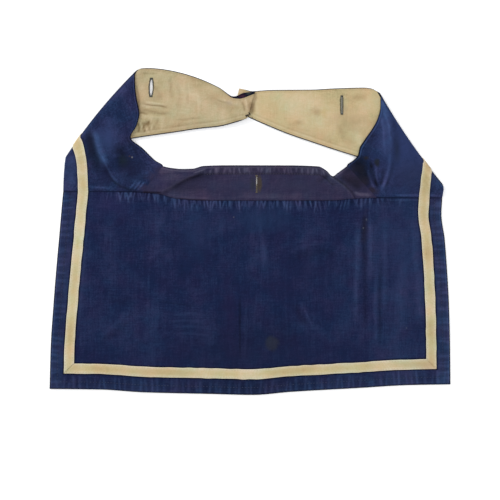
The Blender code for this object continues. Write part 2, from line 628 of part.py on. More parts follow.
def build_flap(finish):
    """The back flap, gathered into the yoke seam along its top."""
    hem_x = spread(HEM[0].x, HEM[-1].x, FINE_STEP)
    hem = [(x, edge_y(HEM, x)) for x in hem_x]
    sides = []
    for side, start, corner in (("right_x", HEM[-1], YOKE_SEAM[-1]), ("left_x", YOKE_SEAM[0], HEM[0])):
        ys = spread(start.y, corner.y, FINE_STEP)[1:-1]
        sides.append([(side_x(side, start.x, y), y) for y in ys])
    gathered_x = spread(GATHERS_FROM, GATHERS_TO, GATHERS.pitch / 3)
    before = spread(YOKE_SEAM[0].x, GATHERS_FROM, SEAM_STEP)[:-1]
    after = spread(GATHERS_TO, YOKE_SEAM[-1].x, SEAM_STEP)[1:]
    seam_x = np.concatenate([before, gathered_x, after])
    seam = [(x, edge_y(YOKE_SEAM, x) - GAP / 2) for x in seam_x[::-1]]
    outline = hem + sides[0] + seam + sides[1]
    inner = []

    def keep(x, y, from_side, from_hem, from_seam):
        inside = min(x - side_x("left_x", x, y), side_x("right_x", x, y) - x) > from_side
        if inside and y - edge_y(HEM, x) > from_hem and edge_y(YOKE_SEAM, x) - y > from_seam:
            inner.append((x, y))

    def keep_beside(side_depth, hem_depth, step):
        for x in spread(HEM[0].x, HEM[-1].x, step)[1:-1]:
            y = edge_y(HEM, x) + hem_depth
            keep(x, y, from_side=side_depth, from_hem=hem_depth - SLACK, from_seam=FINE_STEP)
        for y in spread(HEM[0].y, YOKE_SEAM[0].y, step):
            for side, sign in FLAP_SIDE_SIGNS:
                x = side_x(side, sign * FLAP_HALF_WIDTH, y) - sign * side_depth
                clear = hem_depth + 0.5 * FINE_STEP
                keep(x, y, from_side=side_depth - SLACK, from_hem=clear, from_seam=FINE_STEP)

    for depth in PUCKER_DEPTHS:
        keep_beside(depth, depth, FINE_STEP)
    turned_in = (SIDE_MARGIN, HEM_MARGIN)
    for further in (0.0, TAPE_WIDTH, TAPE_WIDTH + HEM_FADE):
        keep_beside(turned_in[0] + further, turned_in[1] + further, COARSE_STEP)
    for depth in GATHER_DEPTHS:
        for x in gathered_x:
            inner.append((x, edge_y(YOKE_SEAM, x) - GAP / 2 - depth))
    clear = TAPE_WIDTH + HEM_FADE + 0.5 * COARSE_STEP
    for i, y in enumerate(spread(HEM[0].y, YOKE_SEAM[0].y, COARSE_STEP)):
        for x in spread(HEM[0].x, HEM[-1].x, COARSE_STEP) + 0.5 * COARSE_STEP * (i % 2):
            keep(x, y, SIDE_MARGIN + clear, HEM_MARGIN + clear, GATHERS.reach + 0.5 * COARSE_STEP)
    return laid_piece("back_flap", outline, inner, flap_height, finish)


def tuck_lines(tuck):
    """Three lines for the upper face to keep: before a tuck's edge, along it and past it."""
    line = np.array(tuck)
    at = np.linspace(SLACK, len(line) - 1 - SLACK, 4 * (len(line) - 1))
    middle = np.column_stack([through(range(len(line)), column, at) for column in line.T])
    heading = np.gradient(middle, axis=0)
    heading = heading / np.linalg.norm(heading, axis=1, keepdims=True)
    leftward = np.column_stack([-heading[:, 1], heading[:, 0]])
    return [[tuple(p) for p in middle + past * leftward] for past in (-TUCK_ROLL, 0.0, TUCK_ROLL)]


def build_yoke(finish):
    """The yoke between the fronts, with its tucks and its stitched neck band."""
    seam_x = spread(YOKE_LEFT_X + JOINT_GAP, YOKE_RIGHT_X - JOINT_GAP, SEAM_STEP)
    seam = [(x, edge_y(YOKE_SEAM, x) + GAP / 2) for x in seam_x]
    neck_x = spread(NECK_EDGE[-1].x - JOINT_GAP, NECK_EDGE[0].x + JOINT_GAP, NECK_STEP)
    neck = [(x, edge_y(NECK_EDGE, x)) for x in neck_x]
    puckered_x = [x for x in neck_x if PUCKERED_FROM < x < PUCKERED_TO]

    def joint(start, end):
        shares = spread(0.0, 1.0, SEAM_STEP / np.hypot(*np.subtract(end, start)))[1:-1]
        return [tuple(np.add(start, np.subtract(end, start) * share)) for share in shares]

    outline = seam + joint(seam[-1], neck[0]) + neck + joint(neck[-1], seam[0])
    inner = [(x, edge_y(NECK_EDGE, x) - depth) for depth in NECK_DEPTHS for x in puckered_x]
    for x in spread(seam_x[0], seam_x[-1], SEAM_STEP):
        for y in spread(YOKE_SEAM[0].y, NECK_EDGE[0].y, SEAM_STEP):
            near_tuck = min(abs(past_line(LEFT_TUCK, x, y)), abs(past_line(RIGHT_TUCK, x, y)))
            left_end = np.interp(y, (seam[0][1], neck[-1][1]), (seam[0][0], neck[-1][0]))
            right_end = np.interp(y, (seam[-1][1], neck[0][1]), (seam[-1][0], neck[0][0]))
            between = left_end + FINE_STEP < x < right_end - FINE_STEP
            level = edge_y(YOKE_SEAM, x) + FINE_STEP < y < edge_y(NECK_EDGE, x) - NECK_DEPTHS[-1] - SLACK
            if near_tuck > 2 * TUCK_ROLL and between and level:
                inner.append((x, y))
    folds = tuck_lines(LEFT_TUCK) + tuck_lines(RIGHT_TUCK)
    return laid_piece("neck_yoke", outline, inner, yoke_height, finish, folds)


def build_front(side, over, fold, under, run, blue, linen, cream):
    """One front with its lining, and the side tape that runs up the flap and along the front."""
    turned = 1.0 if side == "left" else -1.0
    grid, normals, bend = front_grid(over, fold, under, FRONT_ACROSS, FRONT_STEPS)
    front = wall(f"{side}_front", grid, normals, CLOTH, turned, blue)
    lining_face = lining_grid(grid, under, FRONT_STEPS)
    up = np.tile([0.0, 0.0, 1.0], (*lining_face.shape[:2], 1))
    lining = wall(f"{side}_front_lining", lining_face, up, LINING, -turned, linen)
    flap_points, flap_facing = tape_on_side(f"{side}_x", -turned, run, TAPE_STEPS)
    front_points, front_facing = tape_on_front(grid, normals, run, bend, TAPE_SECTIONS_LEFT_BARE)
    tape_face = np.array(flap_points + front_points)
    facing = np.array(flap_facing + front_facing)
    wall(f"{side}_tape", tape_face, facing, TAPE, turned, cream)
    return front, lining


def build_hem_tape(cream):
    """The tape along the hem."""
    face = tape_along_hem(HEM_TAPE_STEPS)
    up = np.tile([0.0, 0.0, 1.0], (*face.shape[:2], 1))
    wall("hem_tape", face, up, TAPE, -1.0, cream)


def build_collar():
    """All the pieces, and the buttonholes through them."""
    blue = material("indigo_cotton", INDIGO, 0.9)
    faded = material("faded_indigo_cotton", FADED_INDIGO, 0.92)
    linen = material("linen_lining", LINEN, 0.95)
    cream = material("cream_tape", CREAM, 0.9)
    build_flap(blue)
    yoke = build_yoke(faded)
    left = build_front("left", LEFT_OVER, LEFT_FOLD, LEFT_UNDER, LEFT_TAPE, blue, linen, cream)
    right = build_front("right", RIGHT_OVER, RIGHT_FOLD, RIGHT_UNDER, RIGHT_TAPE, blue, linen, cream)
    build_hem_tape(cream)
    cut_buttonhole(BACK_BUTTONHOLE, yoke)
    cut_buttonhole(LEFT_BUTTONHOLE, *left)
    cut_buttonhole(RIGHT_BUTTONHOLE, *right)


for old in list(bpy.data.objects):
    bpy.data.objects.remove(old)
build_collar()
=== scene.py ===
from collections import namedtuple

import bpy
import numpy as np
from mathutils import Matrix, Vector


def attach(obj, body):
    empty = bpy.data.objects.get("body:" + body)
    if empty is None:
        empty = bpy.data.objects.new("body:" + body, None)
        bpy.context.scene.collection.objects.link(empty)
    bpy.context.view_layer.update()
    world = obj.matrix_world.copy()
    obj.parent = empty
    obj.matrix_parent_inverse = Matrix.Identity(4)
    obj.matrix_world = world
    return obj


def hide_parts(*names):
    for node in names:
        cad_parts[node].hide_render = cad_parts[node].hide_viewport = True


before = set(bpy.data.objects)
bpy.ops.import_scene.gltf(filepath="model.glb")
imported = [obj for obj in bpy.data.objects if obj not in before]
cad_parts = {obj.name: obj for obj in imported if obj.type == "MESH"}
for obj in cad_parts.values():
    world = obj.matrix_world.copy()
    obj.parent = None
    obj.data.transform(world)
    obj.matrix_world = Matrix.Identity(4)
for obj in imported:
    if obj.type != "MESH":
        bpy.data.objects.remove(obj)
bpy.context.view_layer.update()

# ------------------------------------------------------------------------------------------------
# The studio: the collar lies on a plain white light table, under a large soft light from the upper
# left and a wide overhead one. The camera hangs straight above, so a millimetre is a pixel.
# ------------------------------------------------------------------------------------------------
MM = 0.001
LENS, SENSOR = 85.0, 36.0
VIEW_WIDTH = 0.5
VIEW_MIDDLE_Y = -18.5 * MM
CLOTH_LEVEL = 2 * MM


def placed(name, data):
    """A new object in the scene."""
    made = bpy.data.objects.new(name, data)
    bpy.context.scene.collection.objects.link(made)
    return made


def connect(inputs, values):
    """Gives a node's inputs their values, or links them to what other nodes put out."""
    for key, value in values.items():
        value = getattr(value, "socket", value)
        if isinstance(value, bpy.types.NodeSocket):
            value.id_data.links.new(value, inputs[key])
        else:
            inputs[key].default_value = value


def new_finish(name):
    """A new material, its nodes and the inputs of its shader."""
    made = bpy.data.materials.new(name)
    made.use_nodes = True
    return made, made.node_tree, made.node_tree.nodes["Principled BSDF"].inputs


camera = placed("camera", bpy.data.cameras.new("camera"))
camera.data.lens = LENS
camera.data.sensor_width = SENSOR
camera.location = (0.0, VIEW_MIDDLE_Y, VIEW_WIDTH * LENS / SENSOR + CLOTH_LEVEL)
bpy.context.scene.camera = camera

Lamp = namedtuple("Lamp", "name place size power")
for lamp in (
    Lamp("window", (-0.95, 0.95, 0.80), 0.55, 13.0),
    Lamp("overhead", (0.15, -0.1, 1.9), 1.8, 16.0),
    Lamp("far_side", (1.2, -0.7, 0.9), 0.9, 3.0),
):
    light = bpy.data.lights.new(lamp.name, "AREA")
    light.shape = "SQUARE"
    light.size = lamp.size
    light.energy = lamp.power
    holder = placed(lamp.name, light)
    holder.location = lamp.place
    holder.rotation_euler = (-Vector(lamp.place)).to_track_quat("-Z", "Y").to_euler()

world = bpy.data.worlds.new("studio_air")
world.use_nodes = True
air = world.node_tree.nodes["Background"].inputs
connect(air, {"Color": (0.95, 0.97, 1.0, 1.0), "Strength": 0.5})
bpy.context.scene.world = world
bpy.context.scene.view_settings.view_transform = "Standard"

TABLE_HALF, TABLE_LEVEL = 15.0, -0.0001
table_corners = np.array([(-1, -1, 0), (1, -1, 0), (1, 1, 0), (-1, 1, 0)]) * TABLE_HALF
table_mesh = bpy.data.meshes.new("table")
table_mesh.from_pydata((table_corners + (0, 0, TABLE_LEVEL)).tolist(), [], [(0, 1, 2, 3)])
table_paint, _, table_shader = new_finish("table_paint")
connect(table_shader, {"Base Color": (0.93, 0.93, 0.93, 1.0), "Roughness": 0.8})
connect(table_shader, {"Emission Color": (1.0, 1.0, 1.0, 1.0), "Emission Strength": 0.2})
table_mesh.materials.append(table_paint)
placed("table", table_mesh)

# ------------------------------------------------------------------------------------------------
# The back flap: one cut of indigo cotton drill, 400 mm wide. Three sides are turned in and
# stitched, the fourth is gathered into the yoke seam, and washing has faded every raised edge,
# on which a highlight is painted as well.
# ------------------------------------------------------------------------------------------------
CLOTH = 1.2

# How far down the flap, and where its left and its right side lie there.
FLAP_SIDES = [
    (0.00, -187.0, 192.5),
    (0.09, -188.6, 191.6),
    (0.22, -190.8, 194.8),
    (0.40, -194.0, 197.4),
    (0.58, -196.8, 199.2),
    (0.78, -199.4, 200.2),
    (1.00, -200.6, 200.6),
]
# Edges are given from left to right, as x and y.
YOKE_SEAM = [
    (-187, 40.5), (-120, 40), (-92, 38.2), (-74, 33.6), (-44, 31.6), (82, 31.6), (104, 33.4),
    (126, 34.2), (192.5, 34),
]
HEM = [
    (-200.6, -157.6), (-150, -158.2), (-106, -161), (-40, -162.6), (3, -163.6), (40, -160.6),
    (110, -156.6), (158, -153.8), (200.6, -153),
]
FLAP_WIDTH, FLAP_LENGTH = 400.0, 198.0
TAPE_WIDTH = 10.0
SIDE_MARGIN = 14.0
HEM_MARGIN = 15.8
# How far in from a front's outer edge its tape runs, at the seam, at the fold and at its end.
TapeRun = namedtuple("TapeRun", "seam fold end")
LEFT_TAPE = TapeRun(seam=15.0, fold=10.8, end=8.0)
RIGHT_TAPE = TapeRun(seam=13.2, fold=14.4, end=8.6)
HEM_RISE = 0.5
HEM_FADE = 3.0
HEM_STITCHING = 7.4
SEAM_UNDERLAP = 2.4


def through(knots, values, at):
    """A smooth curve through the values at the knots, which never overshoots them."""
    knots, values, at = (np.asarray(x, float) for x in (knots, values, at))
    steps = np.diff(knots)
    slopes = np.diff(values) / steps
    tangents = np.empty(len(knots))
    tangents[0], tangents[-1] = slopes[0], slopes[-1]
    before, after = slopes[:-1], slopes[1:]
    same_way = before * after > 0
    total = np.where(same_way, before + after, 1.0)
    tangents[1:-1] = np.where(same_way, 2 * before * after / total, 0.0)
    i = np.clip(np.searchsorted(knots, at) - 1, 0, len(steps) - 1)
    t = (at - knots[i]) / steps[i]
    start = (1 + 2 * t) * (1 - t) ** 2 * values[i] + t * (1 - t) ** 2 * steps[i] * tangents[i]
    end = t * t * (3 - 2 * t) * values[i + 1] - t * t * (1 - t) * steps[i] * tangents[i + 1]
    return start + end


def edge_y(edge, x):
    """The height on the page of an edge that is given from left to right."""
    return through(*zip(*edge), x)


def ease(t):
    """0 below 0, 1 above 1, and smooth between."""
    t = np.clip(t, 0, 1)
    return t * t * (3 - 2 * t)


def close_to(distance, middle, width):
    """1 where a distance is middle, and less and less within about a width of it."""
    return np.exp(-(((distance - middle) / width) ** 2))


def spaced(length, step, edge_steps=(0.0, 0.12, 0.3, 0.55, 0.9)):
    """Distances from 0 to length, closer near both ends so that a cloth edge can be rounded."""
    edge_steps = np.array(edge_steps)
    middle = np.linspace(edge_steps[-1], length - edge_steps[-1], max(2, int(length / step)))
    return np.concatenate([edge_steps[:-1], middle, (length - edge_steps[:-1])[::-1]])


def distance_to_line(path, x, y):
    """How far points are from a line of points, and the share of the line that is nearest."""
    path = np.asarray(path, float)
    lengths = np.hypot(*np.diff(path, axis=0).T)
    starts = np.concatenate([[0], np.cumsum(lengths)])
    nearest = np.full(np.shape(x), np.inf)
    share = np.zeros(np.shape(x))
    for i, length in enumerate(lengths):
        run = (path[i + 1] - path[i]) / length
        along = np.clip((x - path[i, 0]) * run[0] + (y - path[i, 1]) * run[1], 0, length)
        away = np.hypot(x - path[i, 0] - along * run[0], y - path[i, 1] - along * run[1])
        share = np.where(away < nearest, (starts[i] + along) / starts[-1], share)
        nearest = np.minimum(nearest, away)
    return nearest, share


MARK_FADE = 0.25


def draw_marks(marks, x, y, z, worn, deep):
    """Adds marks to a cloth's height and to its worn and deep shades.

    A mark gives its half width, how far the cloth rises along it, how much lighter it is
    (wear, with a painted highlight where the cloth rises), or below 0 how much darker (dirt,
    with painted shade in creases and troughs), and the points of its line. It fades out at both
    ends.
    """
    for width, rise, shade, *path in marks:
        away, share = distance_to_line(path, x, y)
        strength = close_to(away, 0, width) * ease(share / MARK_FADE)
        strength = strength * ease((1 - share) / MARK_FADE)
        z += rise * strength
        worn += max(shade, 0) * strength
        deep += max(-shade, 0) * strength


def pleats(count, start, end, seed, reach, height, slimmest=0.8, lean=0.16, least=0.45):
    """Uneven small folds from a stitched edge: their place, reach, half width, height and lean."""
    random = np.random.default_rng(seed)
    place = np.linspace(start, end, count) + random.uniform(-1.9, 1.9, count)
    return np.column_stack([
        place,
        reach * random.uniform(0.6, 1.25, count),
        random.uniform(slimmest, slimmest + 0.7, count),
        height * random.uniform(least, 1.1, count),
        random.uniform(-lean, lean, count),
    ])


def pleat_height(folds, along, depth):
    """The rise of small folds at places along a stitched edge, at a depth from it."""
    total = np.zeros(np.shape(along))
    for place, reach, width, height, lean in folds:
        near = np.abs(along - place) < 3 * width + abs(lean) * reach + 1
        across = (along[near] - place - lean * depth[near]) / width
        swell = ease(depth[near] / 1.6) * ease((reach - depth[near]) / (0.6 * reach))
        total[near] += height * swell * np.exp(-(across**2))
    return total


def new_piece(name, points, faces, finish, shades=None, threads=None):
    """A piece of the collar, from points in millimetres.

    shades say how much lighter (wear and painted highlight) and how much darker (dirt and
    painted shade) it is at the points. The map "Cloth" follows its threads.
    """
    mesh = bpy.data.meshes.new(name)
    mesh.from_pydata((points * MM).tolist(), [], faces)
    mesh.materials.append(finish)
    for key, values in (shades or {}).items():
        made = mesh.attributes.new(key, "FLOAT", "POINT")
        made.data.foreach_set("value", np.clip(values, 0, 1).astype(np.float32))
    if threads is not None:
        corners = np.empty(len(mesh.loops), np.int32)
        mesh.loops.foreach_get("vertex_index", corners)
        run = (threads * MM)[corners].ravel().astype(np.float32)
        mesh.uv_layers.new(name="Cloth").data.foreach_set("uv", run)
        mesh.validate()
    mesh.shade_smooth()
    piece = placed(name, mesh)
    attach(piece, "root")
    return piece


def squares(at):
    """The four-sided faces between the numbers of a grid of points."""
    return np.stack([at[:-1, :-1], at[:-1, 1:], at[1:, 1:], at[1:, :-1]], axis=-1).reshape(-1, 4)


def cloth_piece(name, outside, inside, worn, deep, finish, flip):
    """A closed piece of cloth between two grids of points."""
    rows, columns, _ = outside.shape
    count = rows * columns
    at = np.arange(count).reshape(rows, columns)
    outer = squares(at)
    rim = np.concatenate([at[:, 0], at[-1, 1:], at[-2::-1, -1], at[0, -2:0:-1]])
    following = np.roll(rim, -1)
    border = np.column_stack([rim, following, following + count, rim + count])
    faces = np.vstack([outer, outer[:, ::-1] + count, border])
    across = np.linalg.norm(np.diff(outside, axis=1), axis=2)
    along = np.linalg.norm(np.diff(outside, axis=0), axis=2).mean(axis=1)
    u = np.column_stack([np.zeros(rows), np.cumsum(across, axis=1)])
    u = u - u.mean(axis=1, keepdims=True)
    v = np.repeat(np.concatenate([[0], np.cumsum(along)]), columns)
    return new_piece(
        name,
        np.vstack([outside.reshape(-1, 3), inside.reshape(-1, 3)]),
        (faces[:, ::-1] if flip else faces).tolist(),
        finish,
        {"worn": np.tile(worn.ravel(), 2), "deep": np.tile(deep.ravel(), 2)},
        np.tile(np.column_stack([u.ravel(), v]), (2, 1)),
    )


def fullness(depth, radius=0.7):
    """How full a rounded cloth edge is at a depth from it: near 0 at the very edge, 1 inside."""
    inside = np.clip(depth / radius, 0, 1)
    return 0.2 + 0.8 * np.sqrt(1 - (1 - inside) ** 2)


def add_node(tree, kind, inputs=None, **settings):
    """A new node, with its settings, and with values or links on its inputs."""
    made = tree.nodes.new(kind)
    for key, value in settings.items():
        setattr(made, key, value)
    connect(made.inputs, inputs or {})
    return made


class Flow:
    """What flows out of a node. Arithmetic with it adds Math nodes to the node's tree."""

    def __init__(self, socket):
        self.socket = socket

    def step(self, operation, first, second=0.0):
        inputs = {0: first, 1: second}
        tree = self.socket.id_data
        return Flow(add_node(tree, "ShaderNodeMath", inputs, operation=operation).outputs[0])

    def __add__(self, other):
        return self.step("ADD", self, other)

    def __sub__(self, other):
        return self.step("SUBTRACT", self, other)

    def __rsub__(self, other):
        return self.step("SUBTRACT", other, self)

    def __mul__(self, other):
        return self.step("MULTIPLY", self, other)

    def __truediv__(self, other):
        return self.step("DIVIDE", self, other)

    def __rtruediv__(self, other):
        return self.step("DIVIDE", other, self)

    def sine(self):
        return self.step("SINE", self)

    def root(self):
        return self.step("SQRT", self)

    def positive(self):
        return self.step("MAXIMUM", self)

    def clamped(self):
        return Flow(add_node(self.socket.id_data, "ShaderNodeClamp", {0: self}).outputs[0])


def new_group(name, **inputs):
    """An empty shader node group, and what its inputs give. A tuple is a colour's default value."""
    tree = bpy.data.node_groups.new(name, "ShaderNodeTree")
    for key, default in inputs.items():
        kind = "NodeSocketColor" if isinstance(default, tuple) else "NodeSocketFloat"
        tree.interface.new_socket(key, in_out="INPUT", socket_type=kind).default_value = default
    given = tree.nodes.new("NodeGroupInput").outputs
    return tree, {key: Flow(given[key]) for key in inputs}


def give_out(tree, **results):
    """Ends a node group with its results. The one that is named Colour is a colour."""
    for key in results:
        kind = "NodeSocketColor" if key == "Colour" else "NodeSocketFloat"
        tree.interface.new_socket(key, in_out="OUTPUT", socket_type=kind)
    connect(tree.nodes.new("NodeGroupOutput").inputs, results)


def place_on(tree):
    """Where a point of the surface is."""
    return Flow(add_node(tree, "ShaderNodeTexCoord").outputs["Object"])


def apart(tree, place):
    """The X and Y parts of a place."""
    parts = add_node(tree, "ShaderNodeSeparateXYZ", {0: place}).outputs
    return Flow(parts[0]), Flow(parts[1])


def stretched(tree, place, factors):
    """A place, multiplied along each axis."""
    made = add_node(tree, "ShaderNodeVectorMath", {0: place, 1: factors}, operation="MULTIPLY")
    return Flow(made.outputs[0])


def noise(tree, place, scale, detail, roughness=0.5, distortion=0.0):
    """Uneven patches from 0 to 1."""
    inputs = {"Vector": place, "Scale": scale, "Detail": detail}
    inputs.update({"Roughness": roughness, "Distortion": distortion})
    return Flow(add_node(tree, "ShaderNodeTexNoise", inputs).outputs["Fac"])


def shade_on(tree, name):
    """One of the shades that the points of a piece hold."""
    return Flow(add_node(tree, "ShaderNodeAttribute", attribute_name=name).outputs["Fac"])


def blended(tree, factor, first, second, way="MIX"):
    """Two colours, blended by a factor."""
    inputs = {0: factor, 6: first, 7: second}
    made = add_node(tree, "ShaderNodeMix", inputs, data_type="RGBA", blend_type=way)
    return Flow(made.outputs[2])


# Threads crossing: a diagonal twill or a plain weave, with thick and thin places in the yarn.
YARN_LONG, YARN_WIDE = 70.0, 820.0
weave, given = new_group("woven_threads", Thread=0.0008, Twill=1.0, Slub=0.5)
threads_map = Flow(add_node(weave, "ShaderNodeUVMap", uv_map="Cloth").outputs["UV"])
warp_turn, weft_turn = (part * (2 * np.pi) / given["Thread"] for part in apart(weave, threads_map))
diagonal = (warp_turn + weft_turn * 0.8).sine()
crossing = warp_turn.sine() * weft_turn.sine()
ribs = crossing + given["Twill"] * (diagonal - crossing)
yarn = noise(weave, stretched(weave, threads_map, (YARN_WIDE, YARN_LONG, 1.0)), 1.0, 2.0)
yarn = yarn + noise(weave, stretched(weave, threads_map, (YARN_LONG, YARN_WIDE, 1.0)), 1.0, 2.0)
uneven = (yarn - 1.0) * given["Slub"]
give_out(weave, Height=ribs * 0.25 + uneven, Shade=uneven + 0.5)

# Old dyed cloth: patches where the colour has gone, lighter where it rubs and where a
# highlight is painted on raised folds and crests, darker with dirt and with painted shade in
# creases, grooves, seams and under edges, and a drift between a greener and a redder blue.
GREENER, REDDER = (0.80, 1.06, 1.03, 1.0), (1.20, 0.94, 0.97, 1.0)
ageing_and_shading, given = new_group(
    "aged_and_shaded_colour",
    Colour=(0.02, 0.03, 0.1, 1.0),
    Worn=(0.1, 0.12, 0.2, 1.0),
    Deep=(0.01, 0.01, 0.03, 1.0),
    Patches=0.3,
    Streaks=0.3,
    Specks=0.3,
    Hues=0.3,
    Shade=0.5,
)
place = place_on(ageing_and_shading)
fine = noise(ageing_and_shading, place, 260.0, 4.0, 0.65)
patchy = noise(ageing_and_shading, place, 26.0, 5.0, 0.6, 0.6)
streaky = noise(ageing_and_shading, stretched(ageing_and_shading, place, (240.0, 14.0, 30.0)), 1.0, 4.0, 0.6)
sparse = noise(ageing_and_shading, place, 700.0, 2.0)
drifting = noise(ageing_and_shading, place, 48.0, 4.0, 0.6)
patch_mask = (patchy - 0.44) * (given["Patches"] * 3.0)
streak_mask = (streaky - 0.46) * (given["Streaks"] * 2.4)
speck_mask = (sparse - 0.5) * (given["Specks"] * 2.0)
weave_mask = (given["Shade"] - 0.5) * 0.5
# How much lighter and darker each point is: wear with a painted highlight, and dirt with painted
# shade.
wear_and_highlight_amount = shade_on(ageing_and_shading, "worn") * (fine * 0.9 + 0.55)
lightness = wear_and_highlight_amount + patch_mask + (streak_mask + (speck_mask + weave_mask))
shade_and_dirt_amount = shade_on(ageing_and_shading, "deep") * (fine * 0.8 + 0.6)
below_base = (lightness * -1.2).positive()
lighter = blended(ageing_and_shading, lightness.clamped(), given["Colour"], given["Worn"])
darkened = blended(ageing_and_shading, (shade_and_dirt_amount + below_base).clamped(), lighter, given["Deep"])
warmer = ((drifting - 0.5) * (given["Hues"] * 5.0) + 0.5).clamped()
turned = blended(ageing_and_shading, warmer, GREENER, REDDER)
tinted = blended(ageing_and_shading, 1.0, darkened, turned, "MULTIPLY")
give_out(ageing_and_shading, Colour=tinted, Roughness=fine * 0.2 + 0.82)

# The small sharp creases of cloth that was washed, dried and never pressed.
crumples, given = new_group("crumples", Size=0.007)
give_out(crumples, Height=noise(crumples, place_on(crumples), 1.0 / given["Size"], 4.0, 0.55, 0.2))

# A soft-edged spot on the cloth as a mask: a stain, a faded patch or a patch of painted shade.
spot, given = new_group("spot", X=0.0, Y=0.0, Width=0.01, Tall=0.01, Soft=0.5, Ragged=0.3)
place = place_on(spot)
place_x, place_y = apart(spot, place)
from_x, from_y = (place_x - given["X"]) / given["Width"], (place_y - given["Y"]) / given["Tall"]
radius = (from_x * from_x + from_y * from_y).root()
radius = radius + (noise(spot, place, 130.0, 4.0) - 0.5) * (given["Ragged"] * 2.0)
give_out(spot, Mask=((1.0 - radius) / given["Soft"]).clamped())

Dye = namedtuple("Dye", "colour worn deep patches streaks specks hues")
Threads = namedtuple("Threads", "size twill slub depth crumple")


def cloth_finish(name, dye, threads, spots, sheen):
    """Aged woven cloth: its dye, its threads and the spots on it.

    A spot gives its x, y, half width and half height, how soft its edge is and how ragged, its
    strength and its colour.
    """
    made, tree, shader = new_finish(name)
    yarns = {"Thread": threads.size, "Twill": threads.twill, "Slub": threads.slub}
    woven = add_node(tree, "ShaderNodeGroup", yarns, node_tree=weave).outputs
    dyes = {key.title(): (*getattr(dye, key), 1.0) for key in ("colour", "worn", "deep")}
    shares = {key.title(): getattr(dye, key) for key in ("patches", "streaks", "specks", "hues")}
    inputs = {**dyes, **shares, "Shade": woven["Shade"]}
    aged = add_node(tree, "ShaderNodeGroup", inputs, node_tree=ageing_and_shading).outputs
    colour = aged["Colour"]
    for x, y, width, tall, soft, ragged, strength, stain in spots:
        inputs = {"X": x * MM, "Y": y * MM, "Width": width * MM, "Tall": tall * MM}
        inputs.update({"Soft": soft, "Ragged": ragged})
        mask = Flow(add_node(tree, "ShaderNodeGroup", inputs, node_tree=spot).outputs["Mask"])
        colour = blended(tree, mask * strength, colour, (*stain, 1.0))
    height = add_node(tree, "ShaderNodeGroup", node_tree=crumples).outputs["Height"]
    inputs = {"Strength": 1.0, "Distance": threads.crumple, "Height": height}
    creased = add_node(tree, "ShaderNodeBump", inputs).outputs[0]
    inputs = {"Strength": 0.6, "Distance": threads.depth, "Height": woven["Height"]}
    normal = add_node(tree, "ShaderNodeBump", {**inputs, "Normal": creased}).outputs[0]
    connect(shader, {"Base Color": colour, "Roughness": aged["Roughness"], "Normal": normal})
    connect(shader, {"Specular IOR Level": 0.06, "Sheen Weight": sheen, "Sheen Roughness": 0.6})
    return made


INDIGO = Dye(
    (0.0074, 0.0122, 0.047), (0.048, 0.07, 0.165), (0.003, 0.004, 0.014), 0.2, 0.1, 0.2, 0.7
)
DRILL = Threads(0.0006, 0.75, 0.6, 0.00008, 0.0022)
FLAP_SPOTS = [
    (-140, 26, 32, 16, 1, 0.5, 0.4, (0.017, 0.0165, 0.068)),
    (-55, -4, 24, 28, 1, 0.6, 0.55, (0.0125, 0.026, 0.076)),
    (12, 12, 44, 18, 1, 0.6, 0.65, (0.0125, 0.0285, 0.078)),
    (60, -40, 52, 28, 1, 0.6, 0.4, (0.0075, 0.011, 0.042)),
    (150, -26, 34, 62, 1, 0.6, 0.35, (0.015, 0.024, 0.078)),
    (-20, -84, 10, 56, 1, 0.6, 0.45, (0.0135, 0.01, 0.042)),
    (0, -122, 160, 30, 1, 0.5, 0.35, (0.008, 0.0115, 0.04)),
    (-60, -90, 24, 18, 1, 0.6, 0.3, (0.012, 0.02, 0.06)),
    (22, -111.8, 8.6, 8.6, 0.45, 0.45, 0.5, (0.025, 0.028, 0.035)),
    (-16.3, 14.3, 1, 1.1, 0.9, 0.6, 0.45, (0.2, 0.2, 0.21)),
    (114.5, 4, 4.5, 22, 0.9, 0.9, 0.45, (0.013, 0.011, 0.019)),
    (113.4, 3.6, 1, 1.3, 0.9, 0.6, 0.4, (0.14, 0.16, 0.19)),
    (116.5, 12, 0.9, 1.6, 0.9, 0.6, 0.3, (0.14, 0.16, 0.2)),
    (156.6, -96.5, 1, 1.3, 0.9, 0.6, 0.3, (0.14, 0.17, 0.22)),
]
indigo_drill = cloth_finish("indigo_drill", INDIGO, DRILL, FLAP_SPOTS, sheen=0.02)
